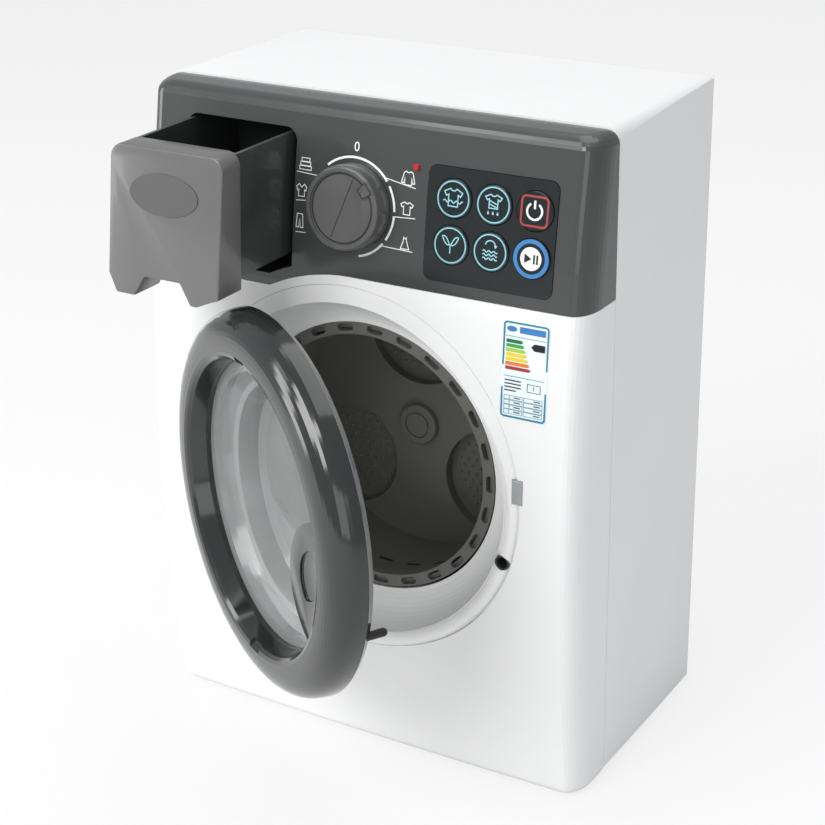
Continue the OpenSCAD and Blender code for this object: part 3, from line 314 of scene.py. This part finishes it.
FINISH_MAKERS = {
    "body": lambda: moulded("body_white", colours().body, 0.42, coat=0.1, grain=0.015),
    "fascia": lambda: moulded("fascia_grey", colours().fascia, 0.24, coat=0.35, grain=0.015),
    "knob": lambda: moulded("knob_grey", (0.085, 0.085, 0.085), 0.30, coat=0.3, grain=0.02),
    "door": lambda: moulded("door_grey", colours().door, 0.14, coat=0.5, grain=0.006),
    "drawer": lambda: moulded("drawer_grey", colours().drawer, 0.30, coat=0.3, grain=0.015),
    "inner": lambda: moulded("inner_grey", colours().inner, 0.45, grain=0.05, grain_scale=900.0),
    "tray": lambda: moulded("tray_grey", (0.040, 0.043, 0.042), 0.25, coat=0.3, grain=0.02),
    "drum": lambda: moulded("drum_grey", colours().drum, 0.42, grain=0.05, grain_scale=900.0),
    # Near-black: the latch peg's own colour, and also painted shade for the knob's dark lines and the drum's slot
    # strips.
    "hole": lambda: moulded("black_and_painted_shade", (0.012, 0.012, 0.011), 0.6),
    "panel": lambda: moulded("panel_black", colours().panel, 0.22, coat=0.0, grain=0.004, drift=0.02),
    "cap": lambda: moulded("cap_black", (0.006, 0.013, 0.015), 0.22, coat=0.0, grain=0.004, drift=0.05),
    "clear_grey": lambda: moulded("clear_grey", (0.33, 0.34, 0.34), 0.25, coat=0.3),
    "badge": lambda: moulded("badge_grey", (0.105, 0.105, 0.105), 0.22, coat=0.4, grain=0.03, grain_scale=2600.0),
    "acetal": lambda: moulded("acetal", (0.66, 0.64, 0.58), 0.4),
    "cone": lambda: moulded("speaker_black", (0.015, 0.015, 0.015), 0.7, grain=0.3, grain_scale=1500.0),
    "film": lambda: printed("label_film", (0.80, 0.88, 0.90), 0.3),
    "steel": lambda: metal("plated_steel", (0.55, 0.55, 0.54), 0.32),
    "ink_white": lambda: printed("ink_white", colours().ink),
    "ink_aqua": lambda: printed("ink_aqua", colours().aqua),
    "ink_teal": lambda: printed("ink_teal", colours().teal),
    "ink_red": lambda: printed("ink_red", colours().red),
    "label_blue": lambda: printed("label_blue", (0.02, 0.22, 0.34)),
    "bar_green": lambda: printed("bar_green", (0.01, 0.16, 0.05)),
    "bar_leaf": lambda: printed("bar_leaf", (0.06, 0.36, 0.07)),
    "bar_lime": lambda: printed("bar_lime", (0.36, 0.58, 0.05)),
    "bar_yellow": lambda: printed("bar_yellow", (0.80, 0.62, 0.03)),
    "bar_orange": lambda: printed("bar_orange", (0.76, 0.20, 0.02)),
    "ink_blue": lambda: printed("ink_blue", colours().blue),
    "ink_black": lambda: printed("ink_black", (0.012, 0.012, 0.014)),
    "lamp": lambda: moulded("lamp_red", (0.45, 0.015, 0.02), 0.12, coat=0.6, grain=0.0, drift=0.1),
    "window": smoky_clear,
    "board": board_green,
    "cell": cell_sleeve,
}


def dress(node_name, finish_name):
    """Gives a CAD node's object its finish."""
    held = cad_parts[node_name]
    held.data.materials.clear()
    held.data.materials.append(finish(finish_name))


CAD_FINISHES = {
    "rear_shell": "body", "front_shell": "body", "fascia": "fascia", "door_surround": "body",
    "latch_socket": "inner", "door_striker": "clear_grey", "hinge_bracket": "door", "hinge_pin": "steel",
    "rating_label": "film", "button_panel": "panel", "led_lens": "lamp", "circuit_board": "board",
    "board_screws": "steel", "rotary_switch": "inner", "drawer_housing": "inner", "drum_tub": "inner",
    "drum_bush": "acetal", "gear_plate": "inner", "gear_plate_screws": "steel", "motor": "steel",
    "speaker": "cone", "battery_box": "inner", "batteries": "cell", "battery_contacts": "steel",
    "battery_cover": "body", "battery_screw": "steel", "case_screws": "steel",
    "door_bezel": "door", "door_window": "window", "door_back_ring": "door", "door_handle_plate": "door",
    "door_latch_peg": "hole", "door_screws": "steel", "drawer_front": "drawer", "drawer_tray": "tray",
    "drawer_badge": "badge", "knob": "knob", "knob_shaft": "acetal",
    "button_wash": "cap", "button_rinse": "cap", "button_power": "cap", "button_eco": "cap",
    "button_spin": "cap", "button_play": "cap",
    "drum": "drum", "drum_front_ring": "drum", "drum_shaft": "steel", "drum_gear": "acetal",
    "motor_pinion": "acetal", "motor_shaft": "steel",
}


# Printed marks

class Sheet:
    """Flat printed shapes, drawn in millimetres and laid on a surface by a function from (u, v) to a point."""

    def __init__(self, name, lay):
        self.name = name
        self.lay = lay
        self.work = bmesh.new()
        self.inks = []

    def face(self, points, ink):
        """One filled outline."""
        if ink not in self.inks:
            self.inks.append(ink)
        made = self.work.faces.new([self.work.verts.new(self.lay(u * MM, v * MM)) for u, v in points])
        made.material_index = self.inks.index(ink)
        made.normal_update()
        if made.normal.y > 0:
            made.normal_flip()

    def box(self, u0, v0, u1, v1, ink):
        """A filled rectangle."""
        self.face([(u0, v0), (u1, v0), (u1, v1), (u0, v1)], ink)

    def disc(self, u, v, r, ink, high=1.0):
        """A filled circle, or an ellipse where high isn't 1."""
        self.face([(u + r * math.cos(a), v + high * r * math.sin(a)) for a in turns(0, 360, 40)[:-1]], ink)

    def ring(self, u, v, inner, outer, ink, start=0, end=360):
        """A ring, or part of one between two angles in degrees, anticlockwise from the right."""
        arc = turns(start, end, max(8, int(abs(end - start) / 6)))
        for a, b in zip(arc, arc[1:]):
            self.face([(u + r * math.cos(t), v + r * math.sin(t))
                       for r, t in ((inner, a), (outer, a), (outer, b), (inner, b))], ink)

    def line(self, points, wide, ink, closed=False):
        """A line of even width through the points."""
        count = len(points)
        sides = []
        for i in range(count):
            here = Vector(points[i])
            back = Vector(points[i - 1]) if i or closed else here
            ahead = Vector(points[(i + 1) % count]) if i < count - 1 or closed else here
            into, away = (here - back), (ahead - here)
            into = into.normalized() if into.length else away.normalized()
            away = away.normalized() if away.length else into
            along = (into + away).normalized()
            reach = wide / 2 / max(0.5, along.dot(into))
            side = Vector((-along.y, along.x)) * reach
            sides.append((here + side, here - side))
        last = count if closed else count - 1
        for i in range(last):
            (a, b), (c, d) = sides[i], sides[(i + 1) % count]
            self.face([tuple(a), tuple(b), tuple(d), tuple(c)], ink)

    def outline(self, shape, u, v, half_wide, half_high, wide, ink):
        """A closed line along one of the unit outlines."""
        self.line([(u + half_wide * x, v + half_high * y) for x, y in shape], wide, ink, closed=True)

    def figure(self, text, u, v, high, ink):
        """A plain number."""
        curve = bpy.data.curves.new("figure", "FONT")
        curve.body = text
        curve.size = high * 1.4
        curve.align_x = "CENTER"
        curve.align_y = "CENTER"
        held = bpy.data.objects.new("figure", curve)
        shape = bpy.data.meshes.new_from_object(held)
        for flat in shape.polygons:
            self.face([(u + shape.vertices[i].co.x, v + shape.vertices[i].co.y) for i in flat.vertices], ink)
        bpy.data.objects.remove(held)
        bpy.data.curves.remove(curve)
        bpy.data.meshes.remove(shape)

    def piece(self, body, slot):
        """Turns the shapes into one object that rides on the body."""
        return made_piece(self.name, self.work, self.inks, body)


def turns(start, end, count):
    """Angles in radians, evenly spaced between two angles in degrees."""
    return [math.radians(start + (end - start) * i / count) for i in range(count + 1)]


def made_piece(name, work, finishes, body, smooth=False):
    """Turns a bmesh into an object with its finishes that rides on the body."""
    mesh = bpy.data.meshes.new(name)
    work.to_mesh(mesh)
    work.free()
    if smooth:
        mesh.shade_smooth()
        mesh.set_sharp_from_angle(angle=math.radians(38))
    piece = link(bpy.data.objects.new(name, mesh))
    for each in finishes:
        mesh.materials.append(finish(each))
    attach(piece, body)
    return piece


def bow_at(x):
    """How far the front stands ahead at x, across its slight bow."""
    return sizes().bow * (1 - (x / sizes().half_width) ** 2)


def front_lay(left, low, lift):
    """Lays (u, v), measured from a corner, on the curved front."""
    def lay(u, v):
        s = sizes()
        x, z = left + u, low + v
        arch = math.sqrt(s.front_radius ** 2 - (z - s.bulge_height) ** 2)
        return Vector((x, s.front_radius - s.front_reach - arch - bow_at(x) - lift, z))
    return lay


def tilted_lay(x, z, proud):
    """Lays (u, v), measured from (x, z), on the flat plane that leans with the front there, proud of it."""
    def lay(u, v):
        s = sizes()
        a = -math.asin((z - s.bulge_height) / s.front_radius)
        y = -bow_at(x) - proud - s.print_lift - s.front_radius
        return Vector((x + u, s.front_radius - s.front_reach + y * math.cos(a) - v * math.sin(a),
                       s.bulge_height + y * math.sin(a) + v * math.cos(a)))
    return lay


T_SHIRT = [(-0.35, 1), (-1, 0.62), (-0.78, 0.15), (-0.52, 0.32), (-0.52, -1), (0.52, -1), (0.52, 0.32), (0.78, 0.15),
           (1, 0.62), (0.35, 1), (0.15, 0.78), (-0.15, 0.78)]
LONG_SHIRT = [(-0.3, 1), (-0.65, 0.8), (-1, -0.7), (-0.68, -0.78), (-0.5, 0.1), (-0.5, -1), (0.5, -1), (0.5, 0.1),
              (0.68, -0.78), (1, -0.7), (0.65, 0.8), (0.3, 1), (0.12, 0.8), (-0.12, 0.8)]
TROUSERS = [(-0.62, 1), (-0.8, -1), (-0.2, -1), (0, 0.25), (0.2, -1), (0.8, -1), (0.62, 1)]
DRESS = [(-0.28, 1), (-0.34, 0.3), (-0.85, -1), (0.85, -1), (0.34, 0.3), (0.28, 1), (0.1, 0.72), (-0.1, 0.72)]
COAT = [(-0.5, 1), (-1, 0.55), (-0.8, -0.1), (-0.55, 0.1), (-0.6, -1), (0.6, -1), (0.55, 0.1), (0.8, -0.1), (1, 0.55),
        (0.5, 1), (0, 0.45)]


class WASHER_OT_dial_print(bpy.types.Operator):
    """Prints the dial's arcs, its number, the underlines and the small garments beside it"""

    bl_idname = "washer.dial_print"
    bl_label = "Dial print"

    def execute(self, context):
        middle = sizes().knob_height / MM
        sheet = Sheet("dial_print", front_lay(0, 0, sizes().print_lift))
        for start, end in ((-40, 52), (58, 88), (93, 124), (130, 168)):
            sheet.ring(0, middle, 20.2, 21.2, "ink_white", 90 - start, 90 - end)
        sheet.figure("0", 0.6, 284.2, 4.0, "ink_white")
        for a, b in (((-28.8, 270.5), (-16.5, 269.9)), ((-28.5, 258.3), (-22.9, 258.8)), ((-28.1, 244.8), (-22.9, 245.0)),
                     ((15.2, 273.5), (30.2, 270.9)), ((21.2, 258.1), (30.9, 258.6)), ((15.3, 245.1), (30.5, 244.6))):
            sheet.line([a, b], 0.35, "ink_white")
        for step in range(3):
            sheet.outline([(-1, -1), (1, -1), (1, 1), (-1, 1)], -24.5, 272.4 + 1.7 * step, 3.0 - 0.5 * step, 0.75, 0.35,
                          "ink_white")
        for shape, u, v, half_wide, half_high in (
                (COAT, -25.9, 262.8, 2.6, 2.6), (TROUSERS, -26.2, 249.8, 2.2, 2.9), (LONG_SHIRT, 26.4, 274.7, 3.2, 2.8),
                (T_SHIRT, 26.6, 262.3, 3.0, 2.6), (DRESS, 26.6, 247.9, 2.4, 2.5)):
            sheet.outline(shape, u, v, half_wide, half_high, 0.38, "ink_white")
        sheet.piece("cabinet", "fascia_grey")
        return {"FINISHED"}


class WASHER_OT_knob_painted_shade(bpy.types.Operator):
    """Draws painted shade: dark lines round the knob's dish and round its pointer, and one across the dish along the
    grip's edge
    """

    bl_idname = "washer.knob_lines"
    bl_label = "Knob lines"

    def execute(self, context):
        s = sizes()
        sheet = Sheet("knob_shade_lines", tilted_lay(0, s.knob_height, s.knob_face - s.dish_depth))
        # Painted shade: a dark ring along the dish's edge.
        sheet.ring(0, 0, 14.3, 15.0, "hole")
        turn = -s.pointer_angle
        # Painted shade: a dark line along the grip's edge across the dish.
        sheet.line([(math.cos(a) * 13.6, math.sin(a) * 13.6) for a in (turn - 1.02, turn + 2.12)], 0.3, "hole")
        sheet.piece("knob", "fascia_grey")
        # Painted shade: a dark outline round the raised pointer.
        tab = Sheet("pointer_shade_line", tilted_lay(0, s.knob_height, s.knob_face + s.pointer_rise))
        corners = [(x * math.cos(turn) - y * math.sin(turn), x * math.sin(turn) + y * math.cos(turn))
                   for x, y in ((-2.1, 11.8), (2.1, 11.8), (2.6, 16.5), (-2.6, 16.5))]
        tab.line(corners, 0.4, "hole", closed=True)
        tab.piece("knob", "fascia_grey")
        return {"FINISHED"}


class WASHER_OT_label_print(bpy.types.Operator):
    """Prints the label: a border, a header, coloured bars, a tag and a small table"""

    bl_idname = "washer.label_print"
    bl_label = "Label print"

    def execute(self, context):
        s = sizes()
        wide, high = s.label_width / MM, s.label_height / MM
        sheet = Sheet("label_print", front_lay(s.label_left, s.label_top, s.label_film + s.print_lift))

        def bar(u0, v0, u1, v1, ink):
            sheet.box(u0 * wide, -v1 * high, u1 * wide, -v0 * high, ink)

        edge = 0.55
        corner = 1.3
        rim = [(x + corner * math.cos(a), y + corner * math.sin(a))
               for x, y, start in ((wide - edge - corner, -edge - corner, 0), (edge + corner, -edge - corner, 90),
                                   (edge + corner, edge + corner - high, 180),
                                   (wide - edge - corner, edge + corner - high, 270))
               for a in turns(start, start + 90, 6)]
        sheet.line(rim, 0.8, "label_blue", closed=True)
        sheet.disc(0.19 * wide, -0.078 * high, 0.11 * wide, "ink_blue", 0.5)
        bar(0.36, 0.045, 0.92, 0.11, "ink_blue")
        for v in (0.15, 0.56):
            bar(0.06, v, 0.94, v + 0.006, "label_blue")
        for row, ink in enumerate(("bar_green", "bar_leaf", "bar_lime", "bar_yellow", "bar_yellow", "bar_orange",
                                   "ink_red")):
            v, right = 0.185 + 0.046 * row, 0.40 + 0.032 * row
            sheet.face([(0.08 * wide, -v * high), (0.08 * wide, -(v + 0.034) * high),
                        (right * wide, -(v + 0.034) * high), ((right + 0.05) * wide, -(v + 0.017) * high),
                        (right * wide, -v * high)], ink)
        sheet.face([(0.62 * wide, -0.232 * high), (0.69 * wide, -0.268 * high), (0.92 * wide, -0.268 * high),
                    (0.92 * wide, -0.196 * high), (0.69 * wide, -0.196 * high)], "ink_black")
        sheet.figure("1", 0.72 * wide, -0.655 * high, 1.9, "ink_black")
        sheet.outline([(-1, -1), (1, -1), (1, 1), (-1, 1)], 0.72 * wide, -0.655 * high, 0.14 * wide, 0.04 * high, 0.25,
                      "ink_black")
        for v in (0.60, 0.635, 0.67, 0.705):
            bar(0.08, v, 0.44 if v < 0.7 else 0.34, v + 0.012, "ink_black")
        for row in range(4):
            for column in range(2):
                u, v = 0.08 + 0.43 * column, 0.765 + 0.05 * row
                sheet.outline([(-1, -1), (1, -1), (1, 1), (-1, 1)], (u + 0.205) * wide, -(v + 0.02) * high,
                              0.2 * wide, 0.021 * high, 0.18, "label_blue")
                if column == 0:
                    sheet.figure(str(2 + row), (u + 0.12) * wide, -(v + 0.02) * high, 1.1, "ink_black")
                bar(u + 0.22, v + 0.014, u + 0.36, v + 0.024, "ink_black")
        sheet.piece("cabinet", "label")
        return {"FINISHED"}


def wash_marks(sheet):
    """A T-shirt over water."""
    sheet.outline(T_SHIRT, 0, 0.5, 4.2, 3.6, 0.5, "ink_aqua")
    sheet.line([(-4.6 + 0.46 * i, -1.2 + 0.5 * math.sin(i * 1.05)) for i in range(21)], 0.5, "ink_aqua")


def rinse_marks(sheet):
    """A shirt being wrung, with three drops."""
    sheet.outline(T_SHIRT, 0, 1.4, 3.8, 2.8, 0.5, "ink_aqua")
    sheet.line([(-1.6, 1.6), (1.6, 0.4)], 0.5, "ink_aqua")
    sheet.line([(-1.6, 0.2), (1.6, -0.9)], 0.5, "ink_aqua")
    for u in (-2.2, 0, 2.2):
        sheet.face([(u - 0.55, -3.7), (u, -4.1), (u + 0.55, -3.7), (u, -2.4)], "ink_aqua")


def eco_marks(sheet):
    """Two leaves."""
    for side in (-1, 1):
        leaf = [(side * (0.3 + 3.6 * t), 0.2 + 3.4 * t + bulge * math.sin(math.pi * t))
                for bulge, steps in ((1.3, range(9)), (-1.3, range(8, -1, -1))) for t in [i / 8 for i in steps]]
        sheet.line(leaf, 0.5, "ink_aqua", closed=False)
    sheet.line([(0, 0.4), (0, -3.4)], 0.5, "ink_aqua")


def spin_marks(sheet):
    """Three waves under a turning arrow."""
    for row in range(3):
        sheet.line([(-3.4 + 0.4 * i, 0.2 - 1.5 * row + 0.4 * math.sin(i * 1.1)) for i in range(18)], 0.5, "ink_aqua")
    sheet.ring(0, 2.4, 2.1, 2.6, "ink_aqua", 10, 170)
    sheet.face([(2.3, 1.6), (3.3, 2.9), (1.5, 2.9)], "ink_aqua")


def power_marks(sheet):
    """A rounded red frame round the power sign."""
    rim = [(x + 1.9 * math.cos(a), y + 1.9 * math.sin(a))
           for x, y, start in ((4.0, 4.1, 0), (-4.0, 4.1, 90), (-4.0, -4.1, 180), (4.0, -4.1, 270))
           for a in turns(start, start + 90, 8)]
    sheet.line(rim, 0.9, "ink_red", closed=True)
    sheet.ring(0, 0, 2.9, 3.8, "ink_white", 122, 418)
    sheet.line([(0, 1.0), (0, 4.4)], 0.9, "ink_white")


def play_marks(sheet):
    """A blue ring round a white disc with the start and pause signs."""
    sheet.ring(0, 0, 6.3, 8.0, "ink_blue")
    sheet.disc(0, 0, 4.8, "ink_white")
    sheet.lay = tilted_lay(*sheet.place, sizes().cap_face + sizes().print_lift)
    sheet.face([(-2.9, 2.0), (-2.9, -2.0), (0.3, 0)], "ink_black")
    for u in (1.1, 2.5):
        sheet.box(u, -1.9, u + 0.8, 1.9, "ink_black")


BUTTON_MARKS = [("wash", 0, 0, wash_marks), ("rinse", 1, 0, rinse_marks), ("power", 2, 0, power_marks),
                ("eco", 0, 1, eco_marks), ("spin", 1, 1, spin_marks), ("play", 2, 1, play_marks)]


class WASHER_OT_button_prints(bpy.types.Operator):
    """Prints the six buttons' faces"""

    bl_idname = "washer.button_prints"
    bl_label = "Button prints"

    def execute(self, context):
        s = sizes()
        for name, column, row, marks in BUTTON_MARKS:
            x = s.button_x + (column - 1) * s.button_dx
            z = s.button_height + (0.5 - row) * s.button_dz
            sheet = Sheet("print_" + name, tilted_lay(x, z, s.cap_face))
            sheet.place = (x, z)
            if name not in ("power", "play"):
                sheet.ring(0, 0, 6.9, 7.35, "ink_aqua")
                sheet.ring(0, 0, 7.35, 7.7, "ink_teal")
            marks(sheet)
            slot = {"power": "button_red", "play": "button_blue"}.get(name, "button_dark")
            sheet.piece("button_" + name, slot)
        return {"FINISHED"}


class WASHER_OT_drum_detail(bpy.types.Operator):
    """Adds the raised dots in the drum's pockets, and a row of dark strips on its wall as painted shade standing in for
    its slot openings
    """

    bl_idname = "washer.drum_detail"
    bl_label = "Drum detail"

    def execute(self, context):
        s = sizes()
        axis = Vector((0, 0, s.drum_height))
        dots = bmesh.new()
        for turn in (90, 210, 330):
            a = math.radians(turn)
            middle = axis + Vector((math.cos(a), 0, math.sin(a))) * 0.0455
            for row in range(-5, 6):
                for column in range(-5, 6):
                    spot = middle + Vector((column * 0.0042 + (row % 2) * 0.0021, 0, row * 0.0037))
                    if (spot - middle).length > 0.0225 or (spot - axis).length > s.drum_inner - 0.004:
                        continue
                    rings = []
                    for r, depth in ((0.0009, 0.0), (0.0007, 0.0005), (0.0003, 0.0007)):
                        rings.append([dots.verts.new(spot + Vector((r * math.cos(t), -s.pocket_floor - depth,
                                                                    r * math.sin(t)))) for t in turns(0, 360, 10)[:-1]])
                    for low, high in zip(rings, rings[1:]):
                        for i in range(10):
                            dots.faces.new([low[i], low[(i + 1) % 10], high[(i + 1) % 10], high[i]])
                    dots.faces.new(rings[-1])
        bmesh.ops.recalc_face_normals(dots, faces=dots.faces)
        made_piece("drum_dots", dots, ["drum"], "drum", smooth=True)
        # Painted shade: flat dark strips just inside the drum's wall stand in for the shade seen through its slot
        # openings.
        slot_shade = bmesh.new()
        for step in range(25):
            for y, half in ((-0.0475, 5.2), (-0.0405, 3.4)):
                arc = turns(14.4 * step + 7.2 - half, 14.4 * step + 7.2 + half, 6)
                r = s.drum_inner - 0.00006
                edges = [[slot_shade.verts.new(axis + Vector((r * math.cos(t), y + side * 0.0009, r * math.sin(t))))
                          for t in arc] for side in (-1, 1)]
                for i in range(6):
                    slot_shade.faces.new([edges[0][i], edges[1][i], edges[1][i + 1], edges[0][i + 1]])
        made_piece("drum_slot_shade", slot_shade, ["hole"], "drum")
        return {"FINISHED"}


def refined(node_name, body, width, corner=35):
    """A copy of a CAD node with its sharp edges rounded, which takes the node's place."""
    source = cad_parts[node_name]
    work = bmesh.new()
    work.from_mesh(source.data)
    work.transform(source.matrix_world)
    bmesh.ops.remove_doubles(work, verts=work.verts, dist=1e-6)
    bmesh.ops.dissolve_limit(work, angle_limit=math.radians(0.4), verts=work.verts, edges=work.edges)
    sharp = [edge for edge in work.edges if edge.is_manifold and edge.calc_face_angle() > math.radians(corner)]
    bmesh.ops.bevel(work, geom=sharp, offset=width, segments=3, profile=0.5, affect="EDGES", clamp_overlap=True)
    piece = made_piece("fine_" + node_name, work, [CAD_FINISHES[node_name]], body, smooth=True)
    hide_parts(node_name)
    return piece


class WASHER_OT_round_edges(bpy.types.Operator):
    """Rounds the sharp edges of the drawer's front, the knob and the handle plate"""

    bl_idname = "washer.round_edges"
    bl_label = "Round the edges"

    def execute(self, context):
        refined("drawer_front", "drawer", 0.0007)
        refined("knob", "knob", 0.00035)
        refined("door_handle_plate", "door", 0.0003)
        refined("door_striker", "cabinet", 0.0004)
        return {"FINISHED"}


class WASHER_OT_dress(bpy.types.Operator):
    """Gives each CAD node its finish"""

    bl_idname = "washer.dress"
    bl_label = "Dress the CAD nodes"

    def execute(self, context):
        for node_name, finish_name in CAD_FINISHES.items():
            dress(node_name, finish_name)
        return {"FINISHED"}


def link(thing):
    """Puts an object in the scene and returns it."""
    bpy.context.scene.collection.objects.link(thing)
    return thing


def area_light(name, spot, target, size, power, tint=(1, 1, 1)):
    """A soft rectangular lamp that looks at its target."""
    data = bpy.data.lights.new(name, "AREA")
    data.shape = "RECTANGLE"
    data.size, data.size_y = size
    data.energy = power
    data.color = tint
    lamp = link(bpy.data.objects.new(name, data))
    lamp.location = spot
    lamp.rotation_euler = (Vector(target) - Vector(spot)).to_track_quat("-Z", "Y").to_euler()
    return lamp


def camera_axes():
    """The photograph's right, up and forward directions."""
    yaw, pitch, roll = sizes().camera_yaw, sizes().camera_pitch, sizes().camera_roll
    ahead = Vector((-math.sin(yaw) * math.cos(pitch), math.cos(yaw) * math.cos(pitch), math.sin(pitch)))
    right = Vector((math.cos(yaw), math.sin(yaw), 0))
    up = right.cross(ahead)
    c, s = math.cos(roll), math.sin(roll)
    return c * right + s * up, c * up - s * right, ahead


def pale_ground():
    """Pale floor, mostly white to the camera yet keeping the object's shadow, grey enough to light the object plainly.
    """
    material, tree, shader = new_material("pale_ground")
    feed(tree, shader, Base_Color=shade(tree, (0.80, 0.80, 0.80), noise(tree, 3.0), 0.01), Roughness=0.9)
    rays = tree.nodes.new("ShaderNodeLightPath")
    seen = Wire(tree, rays.outputs["Is Camera Ray"])
    white = node(tree, "ShaderNodeEmission", None, (1, 1, 1, 1), 1.0)
    both = node(tree, "ShaderNodeMixShader", None, seen * 0.72, Wire(tree, shader.outputs[0]), white)
    output = next(each for each in tree.nodes if each.bl_idname == "ShaderNodeOutputMaterial")
    tree.links.new(both.socket, output.inputs[0])
    return material


class WASHER_OT_stage(bpy.types.Operator):
    """Makes the floor, the lamps, the world and the camera"""

    bl_idname = "washer.stage"
    bl_label = "Stage"

    def execute(self, context):
        mesh = bpy.data.meshes.new("floor")
        half = 4.0
        mesh.from_pydata([(-half, -half, 0), (half, -half, 0), (half, half, 0), (-half, half, 0)], [], [(0, 1, 2, 3)])
        floor = link(bpy.data.objects.new("floor", mesh))
        mesh.materials.append(pale_ground())
        world = bpy.data.worlds.new("studio")
        world.use_nodes = True
        context.scene.world = world
        tree = world.node_tree
        tree.nodes.clear()
        rays = tree.nodes.new("ShaderNodeLightPath")
        seen = Wire(tree, rays.outputs["Is Camera Ray"])
        light = node(tree, "ShaderNodeBackground", None, (0.97, 0.98, 1.0, 1), 0.50)
        white = node(tree, "ShaderNodeBackground", None, (1, 1, 1, 1), 1.0)
        both = node(tree, "ShaderNodeMixShader", None, seen, light, white)
        output = tree.nodes.new("ShaderNodeOutputWorld")
        tree.links.new(both.socket, output.inputs[0])
        middle = (0, 0, 0.15)
        area_light("key_over_front", (-0.45, -1.5, 1.35), middle, (1.2, 0.9), 23.5)
        area_light("over_top", (0.1, 0.2, 1.6), middle, (1.4, 1.2), 8.5)
        area_light("right_front", (1.0, -1.6, 0.5), (0, 0, 0.1), (1.2, 0.8), 4)
        area_light("left_strip", (-1.3, -0.9, 0.55), middle, (0.35, 1.3), 7)
        data = bpy.data.cameras.new("camera")
        data.sensor_width = 36.0
        data.sensor_fit = "HORIZONTAL"
        data.lens = sizes().focal_pixels / IMAGE_SIDE * data.sensor_width
        data.clip_start = 0.05
        camera = link(bpy.data.objects.new("camera", data))
        right, up, ahead = camera_axes()
        turn = Matrix((right, up, -ahead)).transposed().to_4x4()
        camera.matrix_world = Matrix.Translation(Vector(sizes().camera_place)) @ turn
        context.scene.camera = camera
        context.scene.view_settings.view_transform = "Standard"
        return {"FINISHED"}


OPERATORS = [WASHER_OT_dress, WASHER_OT_round_edges, WASHER_OT_dial_print, WASHER_OT_knob_painted_shade,
             WASHER_OT_label_print, WASHER_OT_button_prints, WASHER_OT_drum_detail, WASHER_OT_stage]


class WASHER_PT_panel(bpy.types.Panel):
    """Lists the operators in the 3D view's sidebar"""

    bl_idname = "WASHER_PT_panel"
    bl_label = "Toy Washer"
    bl_space_type = "VIEW_3D"
    bl_region_type = "UI"
    bl_category = "Toy Washer"

    def draw(self, context):
        for operator in OPERATORS:
            self.layout.operator(operator.bl_idname)


CLASSES = [WasherSizes, WasherColours, *OPERATORS, WASHER_PT_panel]


def register():
    """Registers the classes and hangs the sizes and colours on the scene."""
    for cls in CLASSES:
        bpy.utils.register_class(cls)
    bpy.types.Scene.washer_sizes = PointerProperty(type=WasherSizes)
    bpy.types.Scene.washer_colours = PointerProperty(type=WasherColours)


def unregister():
    """Takes the sizes, the colours and the classes away again."""
    del bpy.types.Scene.washer_colours
    del bpy.types.Scene.washer_sizes
    for cls in reversed(CLASSES):
        bpy.utils.unregister_class(cls)


def main():
    """Builds every piece and the stage."""
    register()
    for operator in OPERATORS:
        group, action = operator.bl_idname.split(".")
        getattr(getattr(bpy.ops, group), action)()


if __name__ == "__main__":
    main()
